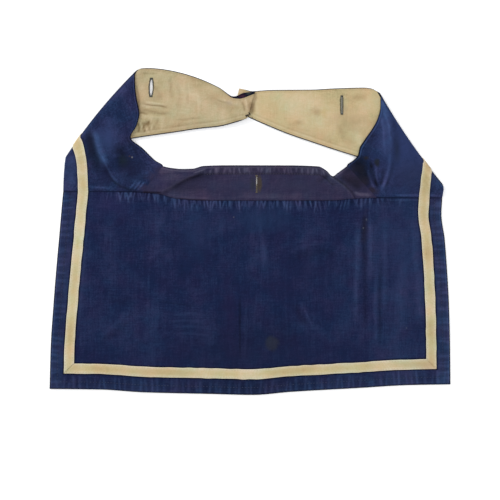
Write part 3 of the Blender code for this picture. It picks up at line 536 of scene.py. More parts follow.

# Creases and folds on the flap as marks: raised ones lighter, with wear and a painted highlight,
# sunk ones darker with painted shade in the trough.
FLAP_MARKS = [
    (2.6, 0.5, 0.22, (108.5, 24), (107.5, -20), (106, -60), (105, -104)),
    (2.6, -0.6, -0.45, (115, 22), (114.5, -8), (115.5, -40)),
    (2.4, -0.4, -0.3, (115, -20), (115.5, -60), (115.5, -106)),
    (3, 0.5, 0.2, (120, 22), (121, -20), (120, -60)),
    (2, 0.5, 0.18, (127, -30), (125, -70), (127, -122)),
    (1.6, -0.4, -0.35, (131.5, -20), (130, -70), (131, -120)),
    (2.4, 0.4, 0.14, (134, 20), (135.5, -20), (134, -90)),
    (3, 0.3, 0.17, (9, 28), (10, 8), (14, -20), (16, -42)),
    (2.4, 0.2, 0.1, (3, 24), (2, 4), (4, -20)),
    (0.9, 0.1, 0.28, (132, 31.6), (158, 31.6), (188, 31.2)),
    (3, 0.2, 0.07, (-26, 18), (-30, -8), (-28, -30)),
    (4, 0.2, 0.08, (-54, 20), (-52, 0), (-50, -24)),
    (3, 0.2, 0.09, (-88, 24), (-92, 0), (-90, -20)),
    (2, 0.3, 0.08, (-104, -31), (-92, -20), (-78, -15)),
    (7, 0.2, 0.07, (-138, 30), (-141, -10), (-140, -60)),
    (4, 0.4, 0.22, (-166, 24), (-168, -30), (-172, -100)),
    (2.5, 0.3, 0.09, (-150, -106), (-132, -92), (-122, -78)),
    (3, -0.2, -0.22, (-154, -112), (-128, -98), (-120, -88)),
    (1.4, 0.4, 0.13, (50, -67), (56, -82), (65, -100)),
    (3, -0.3, -0.28, (44, -70), (50, -84), (58, -96)),
    (2, 0.3, 0.09, (37, -23), (50, -17), (66, -12), (83, -11)),
    (5, -0.3, -0.25, (36, -28), (52, -24), (72, -20), (92, -26)),
    (0.9, -0.25, -0.55, (-10, -58), (-10, -90), (-10, -134)),
    (2, 0.3, 0.07, (-4, -60), (-4, -90), (-5, -134)),
    (1.4, 0.3, 0.16, (-82, -84), (-60, -82), (-40, -84)),
    (1.2, 0.3, 0.15, (-84, -90), (-62, -89), (-38, -91)),
    (1.4, 0.3, 0.16, (-82, -96), (-60, -95), (-36, -97)),
    (1.2, 0.2, 0.12, (-80, -102), (-58, -102), (-38, -104)),
    (1.2, -0.2, -0.2, (-94, -70), (-72, -72), (-52, -76)),
    (6, 0.2, 0.05, (-66, -78), (-58, -88), (-56, -98)),
    (6, 0.35, 0.14, (150, 8), (152, -40), (150, -110)),
    (4, 0.3, 0.18, (163, 24), (166, -30), (172, -100)),
    (9, -0.2, -0.12, (10, -112), (34, -100), (46, -118)),
    (1.2, 0.2, 0.12, (-100, -20), (-102, -60), (-104, -100)),
    (5, -0.2, -0.15, (-150, -60), (-130, -70), (-112, -72)),
]
GATHERS = np.vstack([
    pleats(38, -140.0, -47.0, 3, 13.0, 0.90, 0.45, 0.3, 0.3),
    pleats(18, -45.0, -6.0, 4, 13.0, 0.90, 0.45, 0.35, 0.35),
    pleats(7, -5.0, 9.0, 7, 11.0, 0.75, 0.45, 0.35, 0.3),
    pleats(28, 10.0, 72.0, 10, 14.0, 0.90, 0.45, 0.35, 0.35),
    pleats(23, 74.0, 128.0, 14, 13.0, 0.75, 0.4, 0.35, 0.25),
    pleats(9, 131.0, 158.0, 6, 9.0, 0.40, 0.5, 0.35, 0.3),
])
HEM_PUCKERS = pleats(62, -194.0, 194.0, 5, 19.0, 0.42)
LEFT_PUCKERS = pleats(30, -150.0, 36.0, 8, 16.0, 0.36)
RIGHT_PUCKERS = pleats(30, -148.0, 30.0, 13, 16.0, 0.36)
LEFT, RIGHT = -1, 1
SEAM_LEVEL = 0.45


def side_at(side, drop):
    """Where the flap's left or right side lies at a share of the way down."""
    drops, *sides = zip(*FLAP_SIDES)
    return through(drops, sides[side == RIGHT], drop)


def side_x(side, x, y):
    """Where the flap's left or right side lies, level with a point on the flap."""
    top, bottom = edge_y(YOKE_SEAM, x), edge_y(HEM, x)
    return side_at(side, np.clip((top - y) / (top - bottom), 0, 1))


def flap_relief(x, y):
    """The height of the flap's upper face at points on it, and how much lighter (wear and painted
    highlight) and darker (dirt and painted shade) it is there.
    """
    below_seam = edge_y(YOKE_SEAM, x) - y
    from_hem = y - edge_y(HEM, x)
    from_left, from_right = x - side_x(LEFT, x, y), side_x(RIGHT, x, y) - x
    from_side = np.minimum(from_left, from_right)
    from_edge = np.minimum(from_hem, from_side)
    # The turned edges: a step up, worn along the middle of the margin.
    on_hem = ease((HEM_MARGIN + TAPE_WIDTH + HEM_FADE - from_hem) / HEM_FADE)
    on_side = ease((SIDE_MARGIN + TAPE_WIDTH + HEM_FADE - from_side) / HEM_FADE)
    z = CLOTH + HEM_RISE * np.maximum(on_hem, on_side) * ease(below_seam / 12.0)
    worn = 0.20 * ease((SIDE_MARGIN + 2.0 - from_side) / 5.0)
    worn += 0.10 * ease((HEM_MARGIN - from_hem) / 8.0)
    worn += 0.10 * ease((x - 95.0) / 50.0) * ease(below_seam / 10.0)
    deep = 0.22 * ease(1 - np.abs(x + 5.0) / 90.0) * ease((below_seam - 90.0) / 60.0)
    # The gathers below the seam and the puckers of the stitched edges: lighter on their raised
    # tops, with wear and a painted highlight, and painted shade in the hollows between them.
    gathers = pleat_height(GATHERS, x, below_seam)
    puckers = pleat_height(HEM_PUCKERS, x, from_hem) * ease(from_side / 10.0)
    puckers += pleat_height(LEFT_PUCKERS, y, from_left) * ease(from_hem / 10.0)
    puckers += pleat_height(RIGHT_PUCKERS, y, from_right) * ease(from_hem / 10.0)
    z += gathers + puckers
    worn += 0.62 * gathers + 0.60 * puckers
    gathered = ease((x + 140.0) / 12.0) * ease((152.0 - x) / 12.0)
    deep += 0.35 * ease((9.0 - below_seam) / 6.0) * gathered * np.exp(-8 * gathers)
    deep += 0.22 * ease((14.0 - from_edge) / 4.0) * np.exp(-9 * puckers)
    # Painted shadow: dark lines along both edges of the tape.
    climbed = ease(np.clip((from_hem - HEM_MARGIN) / (below_seam + from_hem - HEM_MARGIN), 0, 1))
    left_margin = SIDE_MARGIN + (LEFT_TAPE.seam - SIDE_MARGIN) * climbed
    right_margin = SIDE_MARGIN + (RIGHT_TAPE.seam - SIDE_MARGIN) * climbed
    above_hem = from_hem - HEM_MARGIN
    beyond_side = np.minimum(from_left - left_margin, from_right - right_margin)
    for past, other in ((beyond_side, above_hem), (above_hem, beyond_side)):
        beside = close_to(past, -0.5, 0.7) + close_to(past, TAPE_WIDTH + 0.5, 0.7)
        deep += 0.95 * beside * ease(other + 1.5)
    draw_marks(FLAP_MARKS, x, y, z, worn, deep)
    # The groove of the stitching and the dip at the seam, both with painted shade, a line of
    # wear near the edge, and painted shade along the very edge.
    groove = close_to(from_edge, HEM_STITCHING, 0.8) * ease(below_seam / 3.0)
    z -= 0.22 * groove
    deep += 0.25 * groove
    worn += 0.50 * close_to(from_edge, 1.5, 0.6)
    deep += 0.80 * ease((1.1 - from_edge) / 0.5)
    seam_shadow = close_to(below_seam, 0, 1.3)
    deep += 0.35 * seam_shadow
    z -= 0.25 * seam_shadow
    z = np.where(below_seam < 0, SEAM_LEVEL + (z - SEAM_LEVEL) * close_to(below_seam, 0, 1.2), z)
    return z, worn, deep


UNDER_INSET = 0.4
RIM_REACH = 5


def unit(vectors):
    """Vectors of length 1 that point the same way."""
    return vectors / np.linalg.norm(vectors, axis=-1, keepdims=True)


def laid_cloth(name, x, y, z, worn, deep, finish):
    """A piece that rests on the table: a grid for its upper face, over one flat underside."""
    rows, columns = x.shape
    at = np.arange(rows * columns).reshape(rows, columns)
    down, back = np.arange(1, rows), np.arange(rows - 2, 0, -1)
    rim_i = np.concatenate([[0] * columns, down, [rows - 1] * (columns - 1), back])
    rim_j = np.concatenate([
        np.arange(columns),
        [columns - 1] * (rows - 1),
        np.arange(columns - 2, -1, -1),
        [0] * (rows - 2),
    ])
    edge = np.column_stack([x[rim_i, rim_j], y[rim_i, rim_j]])
    inner_i = np.clip(rim_i, RIM_REACH, rows - 1 - RIM_REACH)
    inner_j = np.clip(rim_j, RIM_REACH, columns - 1 - RIM_REACH)
    inward = unit(np.column_stack([x[inner_i, inner_j], y[inner_i, inner_j]]) - edge)
    ring = np.column_stack([edge + UNDER_INSET * inward, np.zeros(len(edge))])
    rim = at[rim_i, rim_j]
    under = at.size + np.arange(len(rim))
    upper = np.roll(squares(at)[:, ::-1], 1, axis=1)
    sides = np.column_stack([rim, np.roll(rim, -1), np.roll(under, -1), under])
    points = np.vstack([np.column_stack([x.ravel(), y.ravel(), z.ravel()]), ring])
    shades = {
        key: np.concatenate([values.ravel(), values[rim_i, rim_j]])
        for key, values in (("worn", worn), ("deep", deep))
    }
    faces = upper.tolist() + sides.tolist() + [under.tolist()]
    return new_piece(name, points, faces, finish, shades, points[:, :2])


def finer_near(places, lines):
    """Adds places on both sides of each line to a row of places."""
    extra = np.add.outer(lines, np.linspace(-1.2, 1.2, 7)).ravel()
    kept = [place for place in places if np.abs(extra - place).min() > 0.25]
    return np.sort(np.concatenate([kept, extra]))


FLAP_STEP_ACROSS, FLAP_STEP_DOWN = 0.9, 1.5
FINE_DEPTH, FINE_STEPS, FINE_GAP = 18.0, 30, 0.003
tape_lines = np.array([SIDE_MARGIN, SIDE_MARGIN + TAPE_WIDTH])
tape_lines = np.concatenate([tape_lines, FLAP_WIDTH - tape_lines])
across = finer_near(spaced(FLAP_WIDTH, FLAP_STEP_ACROSS), tape_lines) / FLAP_WIDTH
tape_lines = FLAP_LENGTH - np.array([HEM_MARGIN, HEM_MARGIN + TAPE_WIDTH])
down = finer_near(spaced(FLAP_LENGTH, FLAP_STEP_DOWN), tape_lines) / FLAP_LENGTH
near_seam = np.linspace(-SEAM_UNDERLAP, FINE_DEPTH, FINE_STEPS) / FLAP_LENGTH
down = np.concatenate([near_seam, down[down > near_seam[-1] + FINE_GAP]])
v, u = np.meshgrid(down, across, indexing="ij")
left_edge, right_edge = (side_at(side, np.clip(v, 0, 1)) for side in (LEFT, RIGHT))
flap_x = left_edge + u * (right_edge - left_edge)
flap_y = edge_y(YOKE_SEAM, flap_x) + v * (edge_y(HEM, flap_x) - edge_y(YOKE_SEAM, flap_x))
flap_z, worn, deep = flap_relief(flap_x, flap_y)
from_side = np.minimum(flap_x - left_edge, right_edge - flap_x)
from_edge = np.minimum(flap_y - edge_y(HEM, flap_x), from_side)
flap_z = flap_z * (0.5 + 0.5 * fullness(from_edge))
back_flap = laid_cloth("back_flap_cloth", flap_x, flap_y, flap_z, worn, deep, indigo_drill)
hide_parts("back_flap")

# ------------------------------------------------------------------------------------------------
# The hem stitching: short blue stitches, one row along the two sides and the hem of the flap,
# where the turned edge is caught down. They sink into the cloth and draw it into small puckers.
# ------------------------------------------------------------------------------------------------
Stitch = namedtuple("Stitch", "length gap radius")
UP = np.array([0.0, 0.0, 1.0])


def walked(path):
    """How far along a line of points each of them is."""
    return np.concatenate([[0], np.cumsum(np.linalg.norm(np.diff(path, axis=0), axis=1))])


def along_path(path, at):
    """Points at distances along a line of points."""
    reach = walked(path)
    return np.column_stack([np.interp(at, reach, column) for column in np.asarray(path).T])


def stitch_rows(paths, stitch, seed):
    """Where each stitch of some rows enters and leaves the cloth. Each row has its own seed."""
    starts, ends = [], []
    for number, path in enumerate(paths):
        random = np.random.default_rng(seed + number)
        total = np.linalg.norm(np.diff(path, axis=0), axis=1).sum()
        count = max(1, int(total / (stitch.length + stitch.gap)))
        middles = (np.arange(count) + 0.5) * total / count + random.uniform(-0.1, 0.1, count)
        halves = 0.5 * stitch.length * random.uniform(0.86, 1.08, count)
        starts.append(along_path(path, middles - halves))
        ends.append(along_path(path, middles + halves))
    return np.vstack(starts), np.vstack(ends)


def thread_piece(name, starts, ends, radius, finish, upward=UP):
    """A piece made of many short threads, each from a start to an end, standing proud between."""
    shares = np.array([0.0, 0.14, 0.5, 0.86, 1.0])
    girth = radius * np.array([0.35, 0.9, 1.0, 0.9, 0.35])
    lift = radius * np.array([-0.6, 0.25, 0.5, 0.25, -0.6])
    turn = np.linspace(0, 2 * np.pi, 6, endpoint=False)
    run = ends - starts
    heading = unit(run)
    side = unit(np.cross(heading, np.broadcast_to(upward, run.shape)))
    up = np.cross(side, heading)
    middle = starts[:, None] + shares[:, None] * run[:, None] + lift[:, None] * up[:, None]
    ring = np.cos(turn)[:, None] * side[:, None] + np.sin(turn)[:, None] * up[:, None]
    points = middle[:, :, None] + girth[:, None, None] * ring[:, None]
    at = np.arange(points.size // 3).reshape(points.shape[:3])
    following = np.roll(at, -1, axis=2)
    tube = np.stack([at[:, :-1], at[:, 1:], following[:, 1:], following[:, :-1]], axis=-1)
    caps = np.vstack([at[:, 0], at[:, -1, ::-1]])
    faces = tube.reshape(-1, 4).tolist() + caps.tolist()
    return new_piece(name, points.reshape(-1, 3), faces, finish)


def thread_finish(name, colour, faded):
    """Twisted sewing thread: a fine slant across it, and uneven dye along it."""
    made, tree, shader = new_finish(name)
    place = place_on(tree)
    twist = noise(tree, place, 1400.0, 2.0)
    dyed = blended(tree, noise(tree, place, 120.0, 3.0), (*colour, 1.0), (*faded, 1.0))
    bump = add_node(tree, "ShaderNodeBump", {"Strength": 0.5, "Distance": 0.0001, "Height": twist})
    connect(shader, {"Base Color": dyed, "Roughness": twist * 0.3 + 0.6, "Normal": bump.outputs[0]})
    connect(shader, {"Specular IOR Level": 0.3})
    return made


HEM_STITCH = Stitch(length=2.1, gap=0.9, radius=0.17)
NEAR_SIDE = 190.0
blue_thread = thread_finish("blue_thread", (0.020, 0.026, 0.070), (0.055, 0.070, 0.130))
down_side = np.linspace(34.0, -148.0, 160)
up_side = down_side[::-1]
hem_x = np.linspace(-191.0, 191.0, 300)
hem_paths = [
    np.column_stack([x, y, flap_relief(x, y)[0]])
    for x, y in (
        (side_x(LEFT, -NEAR_SIDE, down_side) + HEM_STITCHING, down_side),
        (hem_x, edge_y(HEM, hem_x) + HEM_STITCHING),
        (side_x(RIGHT, NEAR_SIDE, up_side) - HEM_STITCHING, up_side),
    )
]
hem_ends = stitch_rows(hem_paths, HEM_STITCH, seed=0)
hem_stitching = thread_piece("hem_stitching", *hem_ends, HEM_STITCH.radius, blue_thread)

# ------------------------------------------------------------------------------------------------
# The neck yoke: a low strip of the same drill, faded to purple, between the two fronts. Its neck
# edge is turned in and stitched twice, and the cloth is folded into a tuck near each end.
# ------------------------------------------------------------------------------------------------
NECK_EDGE = [
    (-87, 65.2), (-79, 63.6), (-68, 62.6), (-58, 62.8), (-46, 65.7), (-25, 66.3), (40, 66.2),
    (68, 65.2), (76, 61.4), (83, 55.4), (88, 58.8), (96.8, 65.2),
]
LEFT_TUCK = [(-105, 38.3), (-88, 38.8), (-77, 44.2), (-66, 51), (-44, 59.8)]
RIGHT_TUCK = [(82.4, 54.4), (95, 45.4), (102, 38.2), (103.6, 34.4)]
YOKE_LEFT_X, YOKE_RIGHT_X = -107.0, 126.0
YOKE_WIDTH, YOKE_HEIGHT = 210.0, 32.0
YOKE_OVERLAP = 0.4
LEVEL_BETWEEN = (-60.0, 76.0)
NECK_LIP = 2.0
NECK_BAND = 8.6
TUCK_RISE = 1.7
TUCK_EASE = 26.0
NECK_PUCKERS = pleats(40, -52.0, 74.0, 21, 8.0, 0.42, 0.5, 0.3, 0.2)


def past_line(line, x, y):
    """How far a point lies to the left of a line of points. It is negative on the right."""
    nearest = np.full(np.shape(x), np.inf)
    signed = np.zeros(np.shape(x))
    for start, end in zip(line, line[1:]):
        run = np.subtract(end, start)
        length = np.hypot(*run)
        along = ((x - start[0]) * run[0] + (y - start[1]) * run[1]) / length
        across = ((y - start[1]) * run[0] - (x - start[0]) * run[1]) / length
        distance = np.hypot(across, along - np.clip(along, 0, length))
        closer = distance < nearest
        nearest = np.where(closer, distance, nearest)
        signed = np.where(closer, np.copysign(distance, across), signed)
    return signed


# Marks on the yoke: painted shade beside the tucks and in creases, and lighter lines along raised
# edges, with wear and a painted highlight.
YOKE_MARKS = [
    (3.6, -0.3, -0.3, (-84, 41), (-74, 44.5), (-60, 50), (-44, 55), (-30, 56)),
    (4, -0.2, -0.25, (-78, 40), (-60, 43), (-44, 44)),
    (3.5, 0.3, 0.2, (-102, 46), (-92, 50), (-80, 54), (-66, 57)),
    (2.2, 0.2, 0.25, (-92, 58), (-86, 60), (-74, 60)),
    (2.4, -0.2, -0.35, (66, 48), (72, 52), (79, 56)),
    (1.3, 0.1, 0.26, (83.5, 54.5), (92, 48.5), (99, 43), (102, 38)),
    (0.9, 0.1, 0.35, (84, 57), (90, 60), (95, 63)),
    (1.6, 0.2, 0.55, (102, 40), (110, 37.2), (122, 36.4)),
    (4, -0.3, -0.65, (88, 57), (98, 52), (106, 46), (114, 42)),
    (2.6, 0.1, 0.16, (-20, 36), (30, 35.5), (70, 37)),
    (0.8, -0.1, -0.7, (-110, 39.6), (-98, 39.2), (-86, 39.4)),
    (0.7, 0.1, 0.7, (-57.5, 57.9), (-50, 60.5), (-43, 62.9)),
    (0.8, 0.1, 0.16, (-72, 34.4), (-55, 33.2), (-38, 33)),
    (0.7, -0.1, -0.6, (-76, 33.2), (-60, 31.9), (-38, 31.4)),
]


def yoke_relief(x, y):
    """The height of the yoke's upper face at points on it, and how much lighter (wear and painted
    highlight) and darker (dirt and painted shade) it is there.
    """
    above_seam = y - edge_y(YOKE_SEAM, x)
    below_neck = edge_y(NECK_EDGE, x) - y
    # The two tucks: a rise, with a painted highlight on its edge and painted shade beside it.
    left, right = past_line(LEFT_TUCK, x, y), past_line(RIGHT_TUCK, x, y)
    climb = 1 - (1 - np.clip(above_seam / TUCK_EASE, 0, 1)) ** 2
    left_fades, right_starts = ease((-40.0 - x) / 14.0), ease((x - 52.0) / 30.0)
    on_left = climb * ease(0.5 + left / 2.2) * left_fades
    before_right = 0.75 * climb * ease(0.5 - right / 0.9) * right_starts
    past_right = climb * ease((right - 0.8) / 14.0)
    z = CLOTH + TUCK_RISE * (on_left + before_right + past_right)
    worn = 0.16 * close_to(left, 1.2, 1.2) * left_fades * ease(above_seam / 4.0)
    deep = 0.38 * close_to(left, -1.0, 2.6) * left_fades
    worn += 0.16 * close_to(right, -0.9, 0.9) * right_starts
    deep += 0.60 * close_to(right, 0.9, 1.2) * ease((x - 80.0) / 4.0)
    # The band along the neck edge, between its two rows of stitches: its puckers are lighter on
    # their tops, with wear and a painted highlight, with painted shade between them and in the
    # groove of the lower row, and darker along the neck edge.
    middle = ease((-left + 4.0) / 8.0) * ease(-right / 8.0)
    band = ease((NECK_BAND + 1.0 - below_neck) / 1.2)
    puckers = pleat_height(NECK_PUCKERS, x, below_neck - NECK_LIP) * middle
    z += 0.4 * band * middle + puckers
    worn += 1.1 * puckers + 0.15 * band * middle
    deep += 0.36 * band * middle * np.exp(-9 * puckers)
    band_groove = close_to(below_neck, NECK_BAND, 0.8) * middle
    z -= 0.2 * close_to(below_neck, NECK_LIP, 0.7) + 0.25 * band_groove
    worn += 0.5 * close_to(below_neck, NECK_LIP, 0.8)
    deep += 0.45 * ease(1.4 - below_neck) + 0.30 * band_groove
    draw_marks(YOKE_MARKS, x, y, z, worn, deep)
    # The roll of the cloth above the seam, with painted shade along the seam.
    z += 0.35 * close_to(above_seam, 0, 2.0)
    deep += 0.15 * close_to(above_seam, 0, 1.0)
    worn += 0.06 * close_to(above_seam, 2.4, 0.8) * middle
    return z, worn, deep


FADED_PURPLE = Dye(
    (0.0235, 0.0215, 0.0545), (0.095, 0.086, 0.135), (0.007, 0.006, 0.015), 0.22, 0.04, 0.14, 0.4
)
YOKE_SPOTS = [
    (-10, 46, 40, 8, 1, 0.5, 0.6, (0.0225, 0.025, 0.06)),
    (45, 46, 30, 8, 1, 0.5, 0.6, (0.028, 0.029, 0.062)),
    # Painted shade on both sides of the back slit: grey on its left, brown on its right.
    (2.7, 47.5, 4.2, 9.5, 0.8, 0.4, 0.55, (0.0235, 0.0275, 0.0285)),
    (9.3, 47.8, 3.2, 10.2, 0.45, 0.25, 0.9, (0.05, 0.039, 0.031)),
    (-62, 46.5, 20, 6, 1, 0.5, 0.55, (0.015, 0.015, 0.04)),
    (-92, 49, 13, 10, 0.9, 0.5, 0.6, (0.0205, 0.021, 0.064)),
    (-104, 58, 14, 7, 0.8, 0.4, 0.75, (0.013, 0.02, 0.056)),
    (108, 52, 17, 13, 0.8, 0.5, 0.75, (0.014, 0.012, 0.0235)),
    (99, 62, 9, 7, 0.9, 0.5, 0.7, (0.01, 0.01, 0.022)),
]
faded_drill = cloth_finish("faded_drill", FADED_PURPLE, DRILL, YOKE_SPOTS, sheen=0.02)

YOKE_STEP_ACROSS, YOKE_STEP_DOWN, BELOW_SEAM = 0.65, 0.6, -0.02
across = spaced(YOKE_WIDTH, YOKE_STEP_ACROSS) / YOKE_WIDTH
down = np.concatenate([[BELOW_SEAM], spaced(YOKE_HEIGHT, YOKE_STEP_DOWN) / YOKE_HEIGHT])
v, u = np.meshgrid(down[::-1], across, indexing="ij")
neck_left, neck_right = NECK_EDGE[0][0] - YOKE_OVERLAP, NECK_EDGE[-1][0] + YOKE_OVERLAP
neck_x = neck_left + u * (neck_right - neck_left)
seam_places = (YOKE_LEFT_X - YOKE_OVERLAP, *LEVEL_BETWEEN, YOKE_RIGHT_X + YOKE_OVERLAP)
seam_x = through((neck_left, *LEVEL_BETWEEN, neck_right), seam_places, neck_x)
yoke_x = seam_x + np.clip(v, 0, 1) * (neck_x - seam_x)
yoke_height = edge_y(NECK_EDGE, neck_x) - edge_y(YOKE_SEAM, seam_x)
yoke_y = edge_y(YOKE_SEAM, seam_x) + v * yoke_height
yoke_z, worn, deep = yoke_relief(yoke_x, yoke_y)
yoke_z = yoke_z * (0.5 + 0.5 * fullness((1 - v) * yoke_height))
neck_yoke = laid_cloth("neck_yoke_cloth", yoke_x, yoke_y, yoke_z, worn, deep, faded_drill)
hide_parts("neck_yoke")

YOKE_STITCH = Stitch(length=1.7, gap=0.9, radius=0.15)
purple_thread = thread_finish("purple_thread", (0.035, 0.033, 0.060), (0.100, 0.095, 0.130))
yoke_paths = []
for depth, start_x, end_x in ((NECK_LIP, -84.0, 82.0), (NECK_BAND, -44.0, 70.0)):
    x = np.linspace(start_x, end_x, 240)
    y = edge_y(NECK_EDGE, x) - depth
    yoke_paths.append(np.column_stack([x, y, yoke_relief(x, y)[0]]))
yoke_ends = stitch_rows(yoke_paths, YOKE_STITCH, seed=30)
yoke_stitching = thread_piece("yoke_stitching", *yoke_ends, YOKE_STITCH.radius, purple_thread)

# ------------------------------------------------------------------------------------------------
# The two fronts: tapering pieces of indigo drill, sewn to the yoke seam and folded under at the
# shoulders, so that each comes out again below with its lining up, and meets the other's tip.
# ------------------------------------------------------------------------------------------------
TAPE, LINING_ROOM, GAP = 1.0, 1.0, 0.3
# How high a front's under layer lies where the tape, or the other front's tip, is below it.
OVER_TAPE = TAPE + GAP
OVER_TIP = CLOTH + GAP + LINING_ROOM + GAP
# Sections of a front's upper layer: the x and y of its outer edge and of its neck edge, and its
# height at the outer edge, halfway and at the neck edge.
LEFT_OVER = [
    (-187, 40.5, -107, 39.2, 1.2, 1.2, 1.2),
    (-186.8, 47.5, -97, 52.2, 1.6, 2.6, 2.4),
    (-186.4, 53.5, -87, 65.2, 2.3, 4, 2.9),
    (-186, 58.5, -95, 71.2, 3.1, 4.9, 3.9),
    (-185.6, 61.8, -107, 83, 3.9, 6.2, 5),
    (-185.3, 64.2, -119, 94, 4.6, 7, 6.1),
    (-185.1, 66.2, -112.6, 106.5, 5, 7.6, 6),
    (-184.9, 67.8, -110.2, 118, 5.3, 7.5, 5.8),
    (-184.7, 69, -112.6, 131, 5.5, 6.9, 5.7),
    (-184.5, 70, -114.4, 144, 5.5, 6.2, 5.6),
]
RIGHT_OVER = [
    (192.5, 34, 126, 34.2, 1.2, 1.2, 1.2),
    (192.6, 35, 111.4, 49.7, 1.7, 2.8, 2.4),
    (192.7, 36, 96.8, 65.2, 2.2, 4.2, 2.9),
    (192.8, 36.9, 103, 71, 2.8, 5.4, 4.2),
    (192.9, 37.8, 107.6, 76, 3.4, 6.6, 5.6),
    (193, 38.7, 109.2, 83, 4, 7.4, 6),
    (193, 39.5, 115, 92.5, 4.6, 7.8, 6),
    (193.1, 40.2, 122, 102.5, 5.1, 7.6, 5.8),
    (193.1, 40.9, 127, 112, 5.4, 6.9, 5.7),
    (193.2, 41.5, 130, 123, 5.5, 6.2, 5.6),
]
JOINT_ROWS = 2
Fold = namedtuple("Fold", "outer neck bow top_z slants")
LEFT_FOLD = Fold((-183.5, 75.2), (-113.6, 160.8), 3.0, 5.5, (4.0, 4.5))
RIGHT_FOLD = Fold((192.0, 47.9), (129.6, 138.6), -2.4, 5.5, (5.3, 4.3))
BEND_STEPS = 14
# Sections of a front's under layer: the x and y of both edges, its height at both, and how much
# of it the lining leaves bare.
LEFT_UNDER = [
    (-160, 82, -107.8, 163.2, OVER_TAPE, OVER_TAPE, 0.8),
    (-138, 87.6, -104.8, 163.5, OVER_TAPE, 0.9, 0.8),
    (-119, 92.6, -99, 163.6, OVER_TAPE, 0, 0.8),
    (-100, 95.6, -86, 162.3, OVER_TAPE, 0, 0.8),
    (-76, 99, -68, 158.6, OVER_TAPE, 0, 0.8),
    (-52, 102.6, -50, 152.8, OVER_TAPE, 0, 0.8),
    (-30, 105, -31, 144, 1.7, 1, 0.8),
    (-17, 108.2, -16.5, 134.8, OVER_TIP, OVER_TIP, 1.8),
    (-8, 111, -6, 138.4, OVER_TIP, OVER_TIP, 5.6),
    (-2.4, 113.6, 5.2, 139.8, OVER_TIP, OVER_TIP, 3.4),
]
RIGHT_UNDER = [
    (170, 55.4, 123.4, 142.2, OVER_TAPE, OVER_TAPE, 0.8),
    (148, 62, 119.6, 143.3, OVER_TAPE, 0.9, 0.8),
    (126, 68.6, 113, 144, OVER_TAPE, 0, 0.8),
    (107, 74.6, 102, 143.8, OVER_TAPE, 0, 0.8),
    (86, 81.2, 84, 143.2, OVER_TAPE, 0, 0.8),
    (62, 89.2, 62, 142, OVER_TAPE, 0, 0.8),
    (38, 97.4, 38, 141.8, OVER_TAPE, 0, 0.8),
    (19, 105.2, 19, 141.4, OVER_TAPE, 0.6, 0.8),
    (4, 111.8, 3, 140.4, 0, 0, 0.8),
    (-6, 116.4, -5, 142, 0, 0, 0.8),
    (-16, 121.4, -10.6, 143, 0, 0, 0.8),
]
SETTLE_FROM, SETTLE_TO = 29.0, 47.0
ROW_STEPS = 9

# Ridges and troughs on the fronts: ridges lighter, with wear and a painted highlight on their
# crests, troughs and the shadow sides of ridges darker with painted shade.
FRONT_MARKS = [
    (3.6, 1.3, 0.5, (-160, 104), (-153, 93), (-151, 84.5), (-148, 76), (-144.5, 67.5),
     (-141.5, 59)),
    (1, 0.4, 0.46, (-149.5, 79), (-145.7, 71.5), (-142, 62.7), (-138.2, 55.2), (-133.2, 49),
     (-127, 45.5)),
    (5, -0.7, -0.75, (-163, 104), (-159.5, 92), (-156, 80), (-152, 66), (-150, 54)),
    (1.6, -0.5, -0.75, (-147, 70), (-144, 60), (-138, 51.5), (-129.5, 45.2), (-120, 41.8),
     (-108, 41)),
    (8, 0.7, 0.12, (-143, 118), (-141, 106), (-138, 94), (-134, 82)),
    (6, -1, -0.7, (-134, 90), (-129, 78), (-126, 69), (-121, 58)),
    (4, -0.4, -0.4, (-122, 96), (-117, 84), (-110, 74)),
    (5, 0.2, 0.22, (-176, 78), (-177, 60), (-178, 44)),
    (0.8, 0.3, 0.5, (-117, 41.5), (-113, 45.5), (-109, 51)),
    (0.8, 0.3, 0.45, (-113.5, 41), (-109, 45.5), (-105, 50)),
    (0.8, 0.3, 0.4, (-121, 42), (-117.5, 46), (-115, 49)),
    (1.2, 0.2, 0.25, (-168, 45.5), (-150, 44), (-136, 43.5)),
    (5, 0.3, 0.14, (-130, 150), (-124, 134), (-120, 118)),
    (6.5, 1.5, 0.44, (128, 142), (131, 128), (135, 112), (137, 96), (137, 82), (138, 68)),
    (2.2, 0.3, 0.26, (129.8, 141), (133, 126), (138.6, 108), (140, 92), (139.6, 76)),
    (1.1, 0.4, 0.34, (133, 122), (138.5, 104), (141, 86)),
    (1, 0.4, 0.34, (130, 118), (133, 100), (133.5, 84), (135, 72)),
    (0.7, 0.2, 0.34, (-117, 52), (-112, 47), (-107, 43)),
    (0.7, 0.2, 0.3, (-106.5, 49.5), (-109, 44), (-112, 40.8)),
    (1.5, 0.5, 0.52, (139.5, 82), (139.2, 68), (137, 57), (134.2, 47.5), (129, 37.4)),
    (1.5, -0.5, -0.7, (143.4, 76), (142.6, 64), (140, 54), (134.4, 41)),
    (1.2, 0.4, 0.4, (117.6, 64), (119, 54), (123.3, 44.5), (127.6, 37.4)),
    (1.7, -0.6, -0.95, (120.5, 72), (121.8, 60), (125.4, 51), (128.8, 41)),
    (1.4, -0.4, -0.75, (133.6, 66), (132.4, 55), (129.8, 44)),
    (1.1, 0.3, 0.36, (125.5, 68), (125.6, 57), (127.6, 46)),
    (4, -0.9, -0.7, (142, 124), (145.8, 108), (147, 92), (146.6, 76), (144, 62)),
    (3, 0.4, 0.22, (152, 106), (155, 90), (158, 74)),
    (6.5, -0.6, -0.95, (102, 74), (109, 66), (114, 55), (119, 42)),
    (4, -0.3, -0.45, (124, 100), (120, 88), (117, 76)),
    (4, 0.3, 0.14, (160, 100), (168, 80), (174, 62)),
    (4, 0.2, 0.18, (182, 66), (184, 52), (185, 40)),
    (0.9, 0.2, 0.4, (140, 36.2), (165, 36.4), (190, 36.2)),
]


